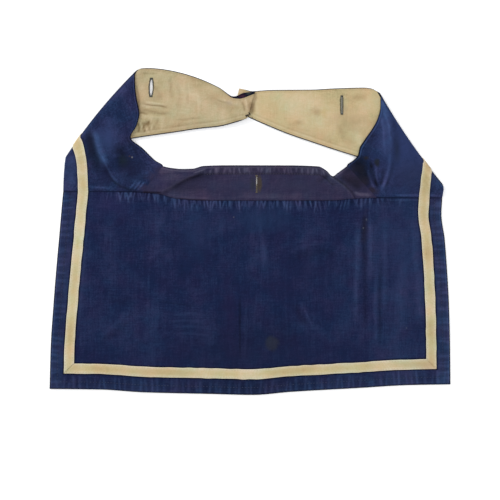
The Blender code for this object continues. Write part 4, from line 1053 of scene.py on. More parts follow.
def rows_between(table):
    """A table's sections, with ROW_STEPS - 1 smooth ones added between each two of them."""
    count = len(table)
    at = np.linspace(0, count - 1, (count - 1) * ROW_STEPS + 1)
    return np.column_stack([through(np.arange(count), column, at) for column in zip(*table)])


def place_between(row, t):
    """The point on the page at a share t of the way from a section's outer to its neck edge."""
    outer_x, outer_y, neck_x, neck_y = row[:4]
    return np.column_stack([outer_x + t * (neck_x - outer_x), outer_y + t * (neck_y - outer_y)])


def front_grid(over, fold, under, t):
    """The blue face of a front, from the yoke seam, round the fold, to the tip.

    It gives the points, the way out of the cloth at each, and the section where the bend starts.
    """
    along = np.subtract(fold.neck, fold.outer)
    along = along / np.hypot(*along)
    outward = np.array([along[1], -along[0]]) * np.sign(along[1] * fold.outer[0])
    bow = (fold.bow * 4 * t * (1 - t))[:, None] * outward
    radius = (fold.top_z - OVER_TAPE) / 2
    ends = np.array([fold.outer, fold.neck]) - radius * outward
    slant = np.outer(fold.slants, along)
    top_ends, low_ends = (ends - slant).ravel(), (ends + slant).ravel()
    grid, facing = [], []

    def add_row(xy, z, way_out):
        grid.append(np.column_stack([xy, z]))
        facing.append(np.tile(way_out, (len(t), 1)))

    upper = rows_between([*over, (*top_ends, fold.top_z, fold.top_z, fold.top_z)])
    joint = JOINT_ROWS * ROW_STEPS
    joint_run = np.subtract(over[JOINT_ROWS][2:4], over[0][2:4])
    upper[:joint, 2:4] = over[0][2:4] + np.outer(np.arange(joint) / joint, joint_run)
    for k, row in enumerate(upper[:-1]):
        xy = place_between(row, t) + (k / (len(upper) - 1)) ** 4 * bow
        if k == 0:
            xy[:, 1] = edge_y(YOKE_SEAM, xy[:, 0])
        outer_z, mid_z, neck_z = row[4:]
        z = outer_z * (1 - t) * (1 - 2 * t) + mid_z * 4 * t * (1 - t) + neck_z * t * (2 * t - 1)
        add_row(xy, z, UP)
    for angle in np.linspace(np.pi / 2, -np.pi / 2, BEND_STEPS + 1):
        turned = 0.5 - angle / np.pi
        xy = place_between(top_ends + turned * (low_ends - top_ends), t) + bow
        z = np.full(len(t), fold.top_z - radius + radius * np.sin(angle))
        way_out = (*(np.cos(angle) * outward), np.sin(angle))
        add_row(xy + radius * np.cos(angle) * outward, z, way_out)
    last = (*low_ends, OVER_TAPE, OVER_TAPE, under[0][-1])
    for k, row in enumerate(rows_between([last, *under])[1:]):
        fade = max(0.0, 1 - (k + 1) / (2 * ROW_STEPS)) ** 2
        xy = place_between(row, t) + fade * bow
        inward = t * np.hypot(*(row[2:4] - row[:2]))
        settled = ease((inward - SETTLE_FROM) / (SETTLE_TO - SETTLE_FROM))
        add_row(xy, row[4] + (row[5] - row[4]) * settled, -UP)
    return np.array(grid), np.array(facing), len(upper) - 1


TAPE_EASE = 0.6
TAPE_SECTIONS_BARE = 7


def tape_span(grid, bend, run):
    """How far along each section of a front its tape starts, and how much wider it is there."""
    rows = len(grid) - TAPE_SECTIONS_BARE * ROW_STEPS // 2
    edge = grid[:rows, 0]
    heading = unit(np.gradient(edge, walked(edge), axis=0))
    across = unit(grid[:rows, -1] - edge)
    slants = np.linalg.norm(np.cross(across, heading), axis=1)
    slants[:bend] = np.abs(across[:bend, 0])
    round_fold = np.arange(bend - 3, bend + BEND_STEPS + 4)
    slants[round_fold] = np.interp(round_fold, round_fold[[0, -1]], slants[round_fold[[0, -1]]])
    margins = through([0, bend, rows - 1], [run.seam, run.fold, run.end], np.arange(rows))
    return margins, slants**TAPE_EASE


def from_both_edges(grid):
    """How far in each point of a front or its lining is, from the outer and from the neck edge."""
    page = grid[..., :2]
    length = np.linalg.norm(page[:, -1] - page[:, 0], axis=1)[:, None]
    t = np.linalg.norm(page - page[:, :1], axis=2) / length
    return t * length, (1 - t) * length


FOLD_FADE = 20


def front_relief(grid, bend, run, edge_wear):
    """Adds a front's creases to its upper layer, and says how much lighter (wear and painted
    highlight) and darker (dirt and painted shade) it is.
    """
    from_outer, from_neck = from_both_edges(grid)
    from_edge = np.minimum(from_outer, from_neck)
    worn, deep = np.zeros((2, *from_edge.shape))
    # The upper layer: its creases, which fade towards the fold, and its roll above the seam, with
    # painted shade along the seam.
    x, y, top_z = np.moveaxis(grid[:bend], 2, 0)
    above_seam = y - edge_y(YOKE_SEAM, x)
    raised = np.zeros(x.shape)
    draw_marks(FRONT_MARKS, x, y, raised, worn[:bend], deep[:bend])
    free = ease(from_edge[:bend] / 12.0) * ease(above_seam / 10.0)
    free[-FOLD_FADE:] *= np.linspace(1, 0, FOLD_FADE)[:, None]
    top_z += raised * free
    top_z += 0.35 * close_to(above_seam, 0, 2.0)
    deep[:bend] += 0.15 * close_to(above_seam, 0, 1.1)
    # The fold and the edges: lighter along the fold, near the outer edge and in lines of wear at
    # both edges, with painted shade along the neck edge and where the cloth turns under past the
    # fold, and a darker line just inside the neck edge.
    rows = np.arange(len(grid))[:, None]
    over = (rows < bend + 6) * ease((rows - JOINT_ROWS * ROW_STEPS + 1) / 3)
    worn += 0.18 * close_to(rows - bend, 3.0, 7.0) + 0.16 * ease((14.0 - from_outer) / 6.0)
    worn += over * (edge_wear * close_to(from_neck, 2.1, 0.6) + 0.25 * close_to(from_outer, 0, 1.2))
    deep += over * (ease((1.5 - from_neck) / 0.4) + 0.30 * close_to(from_neck, 3.4, 0.8))
    deep += 0.85 * ease((rows - bend - 1.5) / 2.5) * (rows < bend + BEND_STEPS)
    # Painted shadow: dark lines along both edges of the tape.
    margins, narrowed = tape_span(grid, bend, run)
    along = from_outer[: len(margins)] * narrowed[:, None]
    for line in (margins - 0.6, margins + TAPE_WIDTH + 0.6):
        deep[: len(margins)] += 0.55 * close_to(along, line[:, None], 0.7)
    # The under layer, which no light reaches.
    worn[bend + BEND_STEPS + 1 :] = 0.0
    deep[bend + BEND_STEPS + 1 :] += 0.9
    return worn, deep, from_edge


def rounded_wall(outside, normals, thickness, from_edge):
    """Both faces of a cloth wall whose edges are rounded."""
    full = fullness(from_edge)[..., None]
    outer = outside - 0.5 * thickness * (1 - full) * normals
    inner = outside - thickness * (0.5 + 0.5 * full) * normals
    return outer, inner


FRONT_INDIGO = Dye(
    (0.0098, 0.0155, 0.052), (0.064, 0.094, 0.23), (0.0035, 0.005, 0.014), 0.26, 0.08, 0.28, 0.8
)
FRONT_SPOTS = [
    (-104.5, 43, 7.5, 7, 0.8, 1, 1, (0.024, 0.0225, 0.057)),
    (-97.5, 52.5, 7.5, 8, 0.8, 1, 1, (0.024, 0.0225, 0.057)),
    (-90, 62.5, 6.5, 7, 0.8, 0.9, 1, (0.023, 0.0215, 0.056)),
    (156, 88, 44, 70, 0.9, 0.5, 0.95, (0.0215, 0.0345, 0.104)),
    (-8, 135.2, 5, 2.6, 0.8, 0.5, 0.8, (0.05, 0.017, 0.033)),
    (-1.5, 137.6, 3.6, 1.5, 0.9, 0.8, 0.7, (0.07, 0.085, 0.078)),
    (146.5, 82, 5, 19, 1, 0.6, 0.6, (0.01, 0.015, 0.029)),
    (-178, 58, 12, 24, 1, 0.5, 0.6, (0.015, 0.023, 0.07)),
    (-141, 94, 15, 22, 1, 0.6, 0.95, (0.0235, 0.038, 0.108)),
    (-117.6, 74, 1.1, 1.3, 0.8, 0.6, 0.6, (0.36, 0.34, 0.29)),
    (-120, 75, 1.4, 1, 0.6, 0.5, 0.7, (0.06, 0.035, 0.03)),
    # Painted shade in the hollow beside the left front's neck edge.
    (-126, 70, 6.5, 7, 0.9, 0.5, 0.6, (0.012, 0.023, 0.023)),
    (-118, 62, 18, 18, 1, 0.5, 0.95, (0.008, 0.0104, 0.0345)),
    (-144, 58, 11, 19, 1, 0.6, 0.9, (0.0078, 0.0108, 0.039)),
    # Painted shade on the shadow side of the ridge that runs down the left front.
    (-159.5, 84, 6.5, 22, 1, 0.6, 0.85, (0.0072, 0.009, 0.026)),
    (-115, 104, 12, 22, 1, 0.5, 0.35, (0.011, 0.016, 0.056)),
    (126.4, 68.5, 3.6, 4.6, 0.8, 1.2, 0.7, (0.0125, 0.0135, 0.0085)),
    (116, 73.4, 3.9, 2.8, 0.8, 1.2, 0.7, (0.017, 0.013, 0.0085)),
    (121, 40, 8, 7.5, 0.8, 0.9, 1, (0.019, 0.016, 0.033)),
    (112, 49, 7.5, 8, 0.8, 0.9, 1, (0.015, 0.013, 0.0255)),
    (103, 59, 8, 9, 0.8, 0.8, 1, (0.0105, 0.0105, 0.0225)),
    (111, 61, 8.5, 15, 0.8, 0.8, 0.85, (0.0075, 0.0085, 0.0175)),
    (164, 56, 32, 20, 1, 0.5, 0.6, (0.021, 0.027, 0.069)),
    # Painted shadow below the left tip's end, in brown.
    (1, 125, 6, 9, 0.8, 0.5, 0.5, (0.12, 0.085, 0.05)),
]
front_drill = cloth_finish("front_drill", FRONT_INDIGO, DRILL, FRONT_SPOTS, sheen=0.02)

FRONT_WIDTH = 100.0
front_edge_steps = (0.0, 0.12, 0.3, 0.55, 0.8, 1.1, 1.5, 2.0, 2.7)
across_front = spaced(FRONT_WIDTH, 1.0, front_edge_steps) / FRONT_WIDTH
fronts, front_faces = {}, {}
for side, over, fold, under, run, edge_wear in (
    ("left", LEFT_OVER, LEFT_FOLD, LEFT_UNDER, LEFT_TAPE, 0.22),
    ("right", RIGHT_OVER, RIGHT_FOLD, RIGHT_UNDER, RIGHT_TAPE, 0.48),
):
    grid, facing, bend = front_grid(over, fold, under, across_front)
    worn, deep, from_edge = front_relief(grid, bend, run, edge_wear)
    outer, inner = rounded_wall(grid, facing, CLOTH, from_edge)
    under_rows = slice(bend + BEND_STEPS, None)
    inner[under_rows, :, 2] += 0.7 * close_to(from_edge[under_rows], 0.7, 0.5)
    turned = side == "right"
    front = cloth_piece(f"{side}_front_cloth", outer, inner, worn, deep, front_drill, turned)
    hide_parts(f"{side}_front")
    fronts[side], front_faces[side] = front, (grid, facing, bend)

# ------------------------------------------------------------------------------------------------
# The linings: cream cotton, one inside each front, felled to it just inside the edge so that a
# narrow rim of blue shows. Long use has left brown stains on them, most near the neck.
# ------------------------------------------------------------------------------------------------
LINING = 0.8
LINING_INSET = 0.8
LINING_END = -0.15
LINING_TOP = 2.3
LINING_IN_FOLD = 0.6 * np.array([1.0, 0.8, 0.5, 0.2])
BARE_TIP = 9.0


def lining_grid(front, facing, bend, under, t):
    """The upper face of a front's lining, on the front's points and just inside its edges.

    It starts inside the fold, where it reaches a little way into the bend.
    """
    low, outward = front[bend + BEND_STEPS], facing[bend + BEND_STEPS // 2]
    rows = [*(low + reach * outward for reach in LINING_IN_FOLD), *front[bend + BEND_STEPS :]]
    bare_edges = rows_between([under[0], *under])[:, -1]
    bare_edges = [*[under[0][-1]] * len(LINING_IN_FOLD), *bare_edges]
    tip = rows[-1][:, :2].mean(axis=0)
    lining = []
    for points, bare in zip(rows, bare_edges):
        length = np.linalg.norm(points[-1, :2] - points[0, :2])
        to_tip = np.linalg.norm(points[:, :2].mean(axis=0) - tip)
        inset = LINING_INSET * ease((to_tip - 4.0) / BARE_TIP)
        reach = inset + t * (length - bare + LINING_INSET - 2 * inset)
        lining.append(along_path(points, reach) + LINING_TOP * UP)
    end = lining[-2] - lining[-1]
    end[:, 2] = 0.0
    lining[-1] += LINING_END * end / np.linalg.norm(end, axis=1, keepdims=True)
    return np.array(lining)


# The left lining's linen: the right one's, but darker and patchier.
DARKER_LINEN = Dye(
    (0.405, 0.322, 0.183), (0.58, 0.5, 0.34), (0.19, 0.13, 0.062), 0.5, 0.06, 0.26, 0.2
)
YELLOWED_LINEN = Dye(
    (0.49, 0.388, 0.212), (0.61, 0.525, 0.36), (0.23, 0.16, 0.075), 0.42, 0.06, 0.24, 0.2
)
PLAIN_WEAVE = Threads(0.0009, 0.0, 0.8, 0.00010, 0.0013)
LINING_STAINS_AND_SHADOW = [
    (101, 109, 25, 16, 1, 0.7, 0.7, (0.35, 0.27, 0.148)),
    (110, 134, 9, 5, 0.9, 0.6, 0.45, (0.33, 0.21, 0.105)),
    (65, 119.5, 8, 6, 0.9, 0.8, 0.55, (0.34, 0.225, 0.115)),
    (48, 108.5, 9, 4, 0.9, 0.8, 0.5, (0.34, 0.225, 0.115)),
    (100, 88, 9, 8, 0.9, 0.6, 0.35, (0.33, 0.215, 0.105)),
    (-110, 122, 7, 5, 0.9, 0.7, 0.5, (0.22, 0.16, 0.085)),
    (-109, 100, 7, 6, 0.9, 0.7, 0.45, (0.23, 0.17, 0.09)),
    (-96, 134, 10, 8, 0.9, 0.6, 0.3, (0.3, 0.23, 0.14)),
    (-108, 128, 8, 5, 0.8, 0.8, 0.45, (0.23, 0.165, 0.085)),
    (-20, 128, 5, 4, 0.9, 0.6, 0.45, (0.33, 0.26, 0.2)),
    (74, 118.5, 5, 6, 0.9, 0.6, 0.4, (0.45, 0.33, 0.13)),
    (92, 126, 5, 12, 0.8, 0.6, 0.45, (0.29, 0.26, 0.165)),
    # Painted shadow of the left tip's end on the right lining, brown like the stains.
    (1.8, 123.6, 4.6, 7, 0.9, 0.5, 0.65, (0.27, 0.17, 0.095)),
    (-7, 141, 4, 3.4, 0.9, 0.5, 0.35, (0.48, 0.33, 0.17)),
]
darker_linen_finish = cloth_finish("darker_lining", DARKER_LINEN, PLAIN_WEAVE, LINING_STAINS_AND_SHADOW, sheen=0.03)
yellowed = cloth_finish("yellowed_lining", YELLOWED_LINEN, PLAIN_WEAVE, LINING_STAINS_AND_SHADOW, sheen=0.03)

# Wrinkles in the linings: raised ones lighter with a painted highlight, creases darker with painted
# shade and brown dirt.
LINING_MARKS = [
    (5, 0.3, 0.2, (-112, 150), (-104, 136), (-106, 118)),
    (1.6, 0.4, -0.4, (-113, 122), (-102, 121), (-90, 118), (-76, 119)),
    (2, 0.4, 0.3, (-112, 126), (-100, 126), (-86, 124)),
    (1.8, 0.4, 0.24, (-110, 116), (-98, 114), (-84, 113)),
    (2, -0.4, -0.55, (-110, 109), (-104, 107), (-97, 108)),
    (1.8, -0.4, -0.45, (-108, 100), (-104, 106), (-102, 112)),
    (1.8, 0.4, 0.28, (-100, 98), (-98, 104), (-99, 112), (-96, 118)),
    (1.4, -0.3, -0.35, (-94, 98), (-92, 106), (-93, 114)),
    (1.6, 0.3, 0.22, (-88, 100), (-87, 108), (-86, 116)),
    (2.4, -0.3, -0.28, (-100, 148), (-92, 140), (-88, 130)),
    (4, 0.2, 0.14, (-84, 160), (-82, 140), (-84, 120)),
    (0.9, -0.4, -0.75, (-109, 127.4), (-98, 126), (-88, 125.2), (-80, 122.8)),
    (1, 0.4, 0.4, (-107, 129.4), (-94, 128.2), (-83, 126.4)),
    (1, -0.4, -0.65, (-114, 119), (-108, 118.6), (-101, 116.6)),
    (1.1, -0.4, -0.95, (-113, 110), (-110.5, 104), (-111.5, 97.5)),
    (0.9, -0.3, -0.75, (-107, 109), (-106, 103), (-104.4, 97)),
    (0.9, -0.3, -0.65, (-101.6, 113), (-101, 105), (-99.6, 97.6)),
    (0.8, -0.2, -0.5, (-96.6, 111), (-96, 104), (-95, 98.4)),
    (0.7, 0.3, 0.5, (-109.4, 110), (-108.2, 103), (-108.4, 97.6)),
    (0.7, 0.3, 0.5, (-104.4, 112), (-103.6, 104), (-102, 97.8)),
    (0.9, -0.2, -0.4, (-114, 148), (-111, 134), (-111.6, 120)),
    (1.3, -0.3, -0.36, (-80, 156), (-79, 144), (-78.4, 131)),
    (0.9, -0.2, -0.35, (-110, 158.4), (-101, 157.6), (-92, 158.2)),
    (1, -0.2, -0.22, (-64, 148), (-62, 134), (-62, 120)),
    (0.9, 0.2, 0.22, (-52, 140), (-51, 128), (-52, 116)),
    (1, -0.2, -0.26, (-78, 111), (-62, 112), (-44, 114)),
    (0.9, -0.2, -0.3, (-34, 132), (-27, 129), (-18, 127.6)),
    (0.9, -0.3, -0.55, (-9, 131), (-6, 125), (-5, 118)),
    (0.8, 0.3, 0.45, (-5.4, 134), (-3, 127), (-2.4, 120)),
    (2, -0.2, -0.16, (-74, 152), (-70, 134), (-72, 116)),
    (6, 0.3, 0.15, (-70, 150), (-50, 130), (-30, 118)),
    (3, -0.2, -0.16, (-90, 104), (-60, 106), (-30, 110)),
    (3, -0.2, -0.2, (-44, 138), (-30, 126), (-14, 122)),
    (1.6, 0.3, 0.26, (-30, 134), (-20, 128), (-8, 126)),
    (2.4, 0.2, 0.2, (-20, 118), (-10, 117), (-2, 120)),
    (3, -0.3, -0.5, (2, 131), (1, 124), (3, 117)),
    (2, 0.3, 0.22, (8, 134), (6, 124), (9, 114)),
    (6, 0.3, 0.18, (120, 136), (112, 118), (112, 96)),
    (8, 0.3, 0.16, (20, 134), (50, 130), (80, 128)),
    (4, -0.2, -0.15, (30, 108), (60, 98), (96, 86)),
    (2.4, -0.2, -0.25, (86, 110), (92, 98), (96, 86)),
    (2.4, 0.2, 0.2, (104, 106), (108, 96), (112, 82)),
]

linings, lining_faces = {}, {}
for side, under, finish in (("left", LEFT_UNDER, darker_linen_finish), ("right", RIGHT_UNDER, yellowed)):
    grid = lining_grid(*front_faces[side], under, across_front)
    from_low, from_neck = from_both_edges(grid)
    from_edge = np.minimum(from_low, from_neck)
    rise, worn, deep = np.zeros((3, *from_edge.shape))
    draw_marks(LINING_MARKS, grid[..., 0], grid[..., 1], rise, worn, deep)
    # Painted shade in the felling groove and along the lining's edges; a darker line 5 mm and a
    # lighter one 3.2 mm in from its low edge.
    felling = close_to(from_edge, 1.6, 0.5)
    rise -= 0.15 * felling
    deep += 0.22 * felling + 0.25 * close_to(from_edge, 0, 0.8)
    deep += 0.20 * close_to(from_low, 5.0, 0.9)
    worn += 0.15 * close_to(from_low, 3.2, 1.2)
    grid[..., 2] += rise * ease(from_edge / 3.0)
    outer, inner = rounded_wall(grid, UP, LINING, from_edge)
    turned = side == "left"
    lining = cloth_piece(f"{side}_lining_cloth", outer, inner, worn, deep, finish, turned)
    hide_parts(f"{side}_front_lining")
    linings[side], lining_faces[side] = lining, outer

# Dark brown tacks that hold the left tip down on the right one, and two lighter ones beyond it.
Tack = namedtuple("Tack", "x y wide tall lean count")
TACKS = [
    Tack(-0.7, 117.8, 2.3, 1.8, -0.6, 12),
    Tack(-2.9, 115.4, 3.6, 1.5, 0.5, 14),
    Tack(2.4, 113.9, 1.3, 0.3, -0.3, 2),
    Tack(4.7, 112.3, 1.3, 0.3, -0.3, 2),
]
TACK_RADIUS = 0.19
TACK_LIFTS = (0.02, 0.2)
TACK_REACH = 0.8
TACK_SEED = 91
tacking_thread = thread_finish("tacking_thread", (0.018, 0.012, 0.009), (0.070, 0.050, 0.036))


def highest_lining(x, y):
    """The height of the lining that is on top at a place: the left one, wherever it reaches."""
    for face in lining_faces.values():
        away = np.hypot(face[..., 0] - x, face[..., 1] - y)
        if away.min() < TACK_REACH:
            break
    return face[..., 2].ravel()[away.argmin()]


random = np.random.default_rng(TACK_SEED)
tack_ends = []
for tack in TACKS:
    for _ in range(tack.count):
        across, up = random.uniform(-0.5, 0.5, 2) * (0.4 * tack.wide, tack.tall)
        half = 0.5 * tack.wide * random.uniform(0.5, 0.9)
        for way in (-1, 1):
            x = tack.x + across + way * half
            y = tack.y + up + way * half * tack.lean
            tack_ends.append((x, y, highest_lining(x, y) + random.uniform(*TACK_LIFTS)))
tack_ends = np.array(tack_ends)
tip_tacks = thread_piece("tip_tacks", tack_ends[::2], tack_ends[1::2], TACK_RADIUS, tacking_thread)

# ------------------------------------------------------------------------------------------------
# The tapes: one woven cream cotton tape along the hem, and one up each side, mitred where they
# meet. The side tapes cross the yoke seam, go round the folds and end under the shoulders.
# ------------------------------------------------------------------------------------------------
TAPE_THICKNESS = 0.6
TAPE_LIFT = 0.1
TAPE_WANDER, TAPE_WANDER_STEP = 0.28, 7.0
TAPE_END = 12.0
half_way_across = np.array([0, 0.012, 0.035, 0.08, 0.15, 0.26, 0.38, 0.5])
TAPE_ACROSS = TAPE_WIDTH * np.append(half_way_across, [0.62, 0.74, 0.85, 0.92, 0.965, 0.988, 1])
TAPE_STITCH = Stitch(length=1.9, gap=0.9, radius=0.14)
TAPE_STITCH_INSET = 1.2


def tape_on_front(grid, facing, bend, run):
    """The tape's outside face on a front, and the way out of the cloth at each of its points."""
    margins, narrowed = tape_span(grid, bend, run)
    reaches = (margins[:, None] + TAPE_ACROSS) / narrowed[:, None]
    points = np.array([along_path(row, reach) for row, reach in zip(grid, reaches)])
    ways_out = np.broadcast_to(facing[: len(points), :1], points.shape)
    return points + (TAPE_LIFT + TAPE_THICKNESS) * ways_out, ways_out


def tape_on_side(side, run, steps):
    """A side tape on the flap, from its mitred corner to the yoke seam.

    Its x and y depend on each other, and four rounds are enough to settle them.
    """
    share = (np.arange(steps) / steps)[:, None]
    margin = run.seam + (SIDE_MARGIN - run.seam) * (1 - ease(share))
    x = np.full((steps, len(TAPE_ACROSS)), side * (NEAR_SIDE + 5.0))
    for _ in range(4):
        bottom = edge_y(HEM, x) + HEM_MARGIN + TAPE_ACROSS
        y = bottom + (edge_y(YOKE_SEAM, x) - bottom) * share
        x = side_x(side, x, y) - side * (margin + TAPE_ACROSS)
    z = np.maximum(flap_relief(x, y)[0], CLOTH) + TAPE_LIFT + TAPE_THICKNESS
    return np.stack([x, y, z], axis=-1)


ABOUT_HEM_Y = -150.0


def tape_along_hem(steps):
    """The tape above the hem, mitred to the side tapes at both corners."""
    level = ABOUT_HEM_Y + HEM_MARGIN + TAPE_ACROSS
    left = side_x(LEFT, -NEAR_SIDE, level) + SIDE_MARGIN + TAPE_ACROSS
    right = side_x(RIGHT, NEAR_SIDE, level) - SIDE_MARGIN - TAPE_ACROSS
    x = left + (right - left) * np.linspace(0, 1, steps + 1)[:, None]
    y = edge_y(HEM, x) + HEM_MARGIN + TAPE_ACROSS
    z = flap_relief(x, y)[0] + TAPE_LIFT + TAPE_THICKNESS
    return np.stack([x, y, z], axis=-1)


def unevenly(points, seed):
    """A tape with both its edges wandering a little, as a hand-guided seam leaves them."""
    random = np.random.default_rng(seed)
    at = walked(points[:, 0])
    knots = np.linspace(0, at[-1], int(at[-1] / TAPE_WANDER_STEP))
    fade = ease(at / TAPE_END) * ease((at[-1] - at) / TAPE_END)
    swings = [random.uniform(-TAPE_WANDER, TAPE_WANDER, len(knots)) for _ in range(2)]
    first, last = (fade * through(knots, swing, at) for swing in swings)
    share = TAPE_ACROSS / TAPE_WIDTH
    shift = np.outer(first, 1 - share) + np.outer(last, share)
    return points + unit(points[:, -1:] - points[:, :1]) * shift[..., None]


def tape_shades(points, seed):
    """How much lighter and darker a tape is: lighter along its edges, with soft lighter and
    darker patches along it.
    """
    rows, knots = len(points), 24
    patches = np.random.default_rng(seed).uniform(-0.2, 0.35, knots)
    soft = np.interp(np.arange(rows), np.linspace(0, rows, knots), patches)[:, None]
    middle = np.sin(np.pi * TAPE_ACROSS / TAPE_WIDTH)
    return 0.75 * (1 - middle) ** 1.5 + np.maximum(-soft, 0), np.maximum(soft, 0) * middle


CREAM = Dye((0.51, 0.42, 0.225), (0.64, 0.59, 0.45), (0.34, 0.25, 0.12), 0.44, 0.04, 0.28, 0.2)
TAPE_WEAVE = Threads(0.0010, 0.2, 0.9, 0.00014, 0.0008)
TAPE_STAINS = [
    (176, -138, 12, 9, 0.9, 0.5, 0.45, (0.48, 0.33, 0.24)),
    (-178, 40, 8, 10, 0.9, 0.5, 0.3, (0.4, 0.32, 0.18)),
    (-60, -142, 18, 5, 0.9, 0.5, 0.25, (0.42, 0.34, 0.19)),
    (60, -136, 22, 5, 0.9, 0.5, 0.25, (0.4, 0.32, 0.18)),
    (181, -20, 8, 16, 0.9, 0.5, 0.25, (0.42, 0.34, 0.2)),
]
cream_tape = cloth_finish("cream_tape", CREAM, TAPE_WEAVE, TAPE_STAINS, sheen=0.05)
cream_thread = thread_finish("cream_thread", (0.300, 0.235, 0.130), (0.600, 0.520, 0.360))


SIDE_TAPE_STEPS, HEM_TAPE_STEPS = 110, 220


def tape_pieces(name, points, ways_out, shade_seed, stitch_seed, flip):
    """A tape, and the row of stitches along both its edges."""
    from_edge = np.minimum(TAPE_ACROSS, TAPE_WIDTH - TAPE_ACROSS)
    outer, inner = rounded_wall(points, ways_out, TAPE_THICKNESS, from_edge)
    shades = tape_shades(points, shade_seed)
    tape = cloth_piece(f"{name}_cloth", outer, inner, *shades, cream_tape, flip)
    widths = np.linalg.norm(points[:, -1] - points[:, 0], axis=1)
    inset = TAPE_STITCH_INSET / TAPE_WIDTH
    paths = [
        np.array([along_path(row, [share * width])[0] for row, width in zip(points, widths)])
        for share in (inset, 1 - inset)
    ]
    starts, ends = stitch_rows(paths, TAPE_STITCH, stitch_seed)
    away = np.linalg.norm(0.5 * (starts + ends)[:, None] - np.vstack(paths), axis=2)
    ups = ways_out[away.argmin(axis=1) % len(points), 0]
    radius = TAPE_STITCH.radius
    sewing = thread_piece(f"{name}_stitching", starts, ends, radius, cream_thread, ups)
    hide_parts(name)
    return tape, sewing


for name, side, run in (("left", LEFT, LEFT_TAPE), ("right", RIGHT, RIGHT_TAPE)):
    flap_part = tape_on_side(side, run, SIDE_TAPE_STEPS)
    front_part, front_ways = tape_on_front(*front_faces[name], run)
    points = unevenly(np.concatenate([flap_part, front_part]), seed=20 + side)
    tape, sewing = tape_pieces(
        f"{name}_tape",
        points,
        np.concatenate([np.broadcast_to(UP, flap_part.shape), front_ways]),
        shade_seed=3 + side,
        stitch_seed=50 + 4 * side,
        flip=side == RIGHT,
    )
points = unevenly(tape_along_hem(HEM_TAPE_STEPS), seed=23)
hem_tape, sewing = tape_pieces(
    "hem_tape",
    points,
    np.broadcast_to(UP, points.shape),
    shade_seed=9,
    stitch_seed=70,
    flip=True,
)

# ------------------------------------------------------------------------------------------------
# The button holes: slits cut through every layer after the cloth was sewn, one in each front and
# one in the back of the yoke. Close stitches wrap each raw edge, with a bar across both ends.
# ------------------------------------------------------------------------------------------------
Buttonhole = namedtuple("Buttonhole", "x y length gape lean square")
LEFT_BUTTONHOLE = Buttonhole(-98.8, 144.0, 16.6, 3.0, 0.03, 0.9)
RIGHT_BUTTONHOLE = Buttonhole(91.8, 126.4, 16.4, 1.6, 0.0, 0.30)
BACK_BUTTONHOLE = Buttonhole(6.7, 47.6, 15.0, 0.8, 0.0, 0.35)
KNIFE_POINTS = 40
KNIFE_LEVELS = (-0.02, 0.03)
SATIN_RADIUS = 0.2
SATIN_INSIDE = -0.12
BAR_HALF, BAR_LIFT, BAR_THREADS = 1.1, 0.2, 4
CORD_SHARE, CORD_POINTS = 0.46, 13


def slit_edge(hole, turn, grow=0.0):
    """Points round a slit, in order, at angles in turn."""
    along = (0.5 * hole.length + grow) * np.cos(turn)
    bulge = np.copysign(np.abs(np.sin(turn)) ** hole.square, np.sin(turn))
    across = (0.5 * hole.gape + grow) * bulge
    return np.column_stack([hole.x + across + hole.lean * along, hole.y + along])


def cut_slit(hole, *pieces):
    """Cuts a slit right through each of the pieces."""
    edge = slit_edge(hole, np.linspace(0, 2 * np.pi, KNIFE_POINTS, endpoint=False)) * MM
    at = np.arange(2 * KNIFE_POINTS).reshape(2, KNIFE_POINTS)
    following = np.roll(at, -1, axis=1)
    sides = np.column_stack([at[0], at[1], following[1], following[0]])
    mesh = bpy.data.meshes.new("slit")
    points = [(*place, level) for level in KNIFE_LEVELS for place in edge]
    mesh.from_pydata(points, [], [at[0].tolist(), at[1, ::-1].tolist(), *sides.tolist()])
    knife = placed("slit", mesh)
    for piece in pieces:
        cut = piece.modifiers.new("slit", "BOOLEAN")
        cut.operation = "DIFFERENCE"
        cut.object = knife
        ready = piece.evaluated_get(bpy.context.evaluated_depsgraph_get())
        finished = bpy.data.meshes.new_from_object(ready)
        piece.modifiers.clear()
        piece.data = finished
    bpy.data.objects.remove(knife)


def level_on(face, x, y):
    """The height of the nearest point of a grid of points, for each place."""
    near = face.reshape(-1, 3)
    away = np.hypot(near[:, 0] - x[:, None], near[:, 1] - y[:, None])
    return near[np.argmin(away, axis=1), 2]


def buttonhole_stitching(name, hole, face, count, reach, finish, seed):
    """Close stitches over a slit's edge, from just inside it to a little way outside."""
    random = np.random.default_rng(seed)
    turn = np.linspace(0, 2 * np.pi, count, endpoint=False)
    inside, edge, beyond = (slit_edge(hole, turn, grow) for grow in (SATIN_INSIDE, 0.0, 1.0))
    outside = edge + (beyond - edge) * (reach * random.uniform(0.8, 1.12, count))[:, None]
    bottom = level_on(face, *outside.T) + random.uniform(0.0, 0.12, count)
    half = BAR_HALF + 0.2 * hole.gape
    past_end = 0.5 * hole.length + 0.3 + 0.32 * np.arange(BAR_THREADS)
    y = hole.y + np.outer((-1, 1), past_end).ravel()
    x = hole.x + hole.lean * (y - hole.y)
    level = level_on(face, x, y) + BAR_LIFT
    starts, ends = (
        np.vstack([np.column_stack([edge, bottom]), np.column_stack([x + way * half, y, level])])
        for edge, way in ((inside, -1), (outside, 1))
    )
    return thread_piece(name, starts, ends, SATIN_RADIUS, finish)


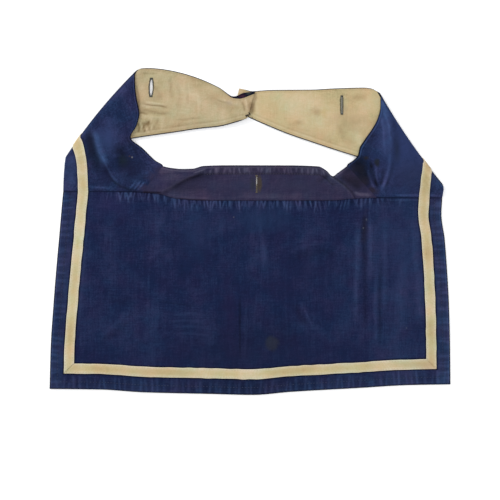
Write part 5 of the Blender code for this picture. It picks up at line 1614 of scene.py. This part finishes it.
def cord_sides(hole, face, from_middle):
    """The two sides of a cord that was laid round the slit under the close stitches."""
    y = hole.y + CORD_SHARE * hole.length * np.linspace(-1, 1, CORD_POINTS)
    starts, ends = [], []
    for side in (-1, 1):
        x = hole.x + side * from_middle + hole.lean * (y - hole.y)
        path = np.column_stack([x, y, level_on(face, x, y)])
        starts.append(path[:-1])
        ends.append(path[1:])
    return np.vstack(starts), np.vstack(ends)


cut_slit(LEFT_BUTTONHOLE, fronts["left"], linings["left"])
cut_slit(RIGHT_BUTTONHOLE, fronts["right"], linings["right"])
cut_slit(BACK_BUTTONHOLE, neck_yoke)
dark_thread = thread_finish("dark_thread", (0.030, 0.032, 0.026), (0.095, 0.095, 0.075))
tan_thread = thread_finish("tan_thread", (0.050, 0.040, 0.032), (0.150, 0.122, 0.086))
grey_thread = thread_finish("grey_thread", (0.130, 0.125, 0.095), (0.330, 0.310, 0.240))
left_face, right_face = lining_faces["left"], lining_faces["right"]
yoke_face = np.stack([yoke_x, yoke_y, yoke_z], axis=-1)
for name, hole, face, count, reach, finish, seed, slot in (
    ("left", LEFT_BUTTONHOLE, left_face, 96, 1.45, dark_thread, 81, "linen_lining"),
    ("right", RIGHT_BUTTONHOLE, right_face, 96, 0.95, dark_thread, 82, "linen_lining"),
    ("back", BACK_BUTTONHOLE, yoke_face, 90, 0.6, tan_thread, 83, "faded_indigo_cotton"),
):
    name = f"{name}_buttonhole_stitching"
    buttonhole_stitching(name, hole, face, count, reach, finish, seed)

# Cords: one on each side of the right slit, and a loose one that shows in the back slit.
RIGHT_CORD_PLACE, RIGHT_CORD_RADIUS = 0.45, 0.36
BACK_CORD_SUNK, BACK_CORD_RADIUS = 0.25, 0.42
right_sides = cord_sides(RIGHT_BUTTONHOLE, right_face, RIGHT_CORD_PLACE)
right_cord = thread_piece("right_buttonhole_cord", *right_sides, RIGHT_CORD_RADIUS, grey_thread)
back_x, back_y = np.array([(6.95, 47.6), (6.8, 44.2), (6.7, 40.6)]).T
back_z = level_on(yoke_face, np.full(len(back_y), BACK_BUTTONHOLE.x), back_y) - BACK_CORD_SUNK
back_line = np.column_stack([back_x, back_y, back_z])
back_cord = thread_piece(
    "back_buttonhole_cord", back_line[:-1], back_line[1:], BACK_CORD_RADIUS, tan_thread
)
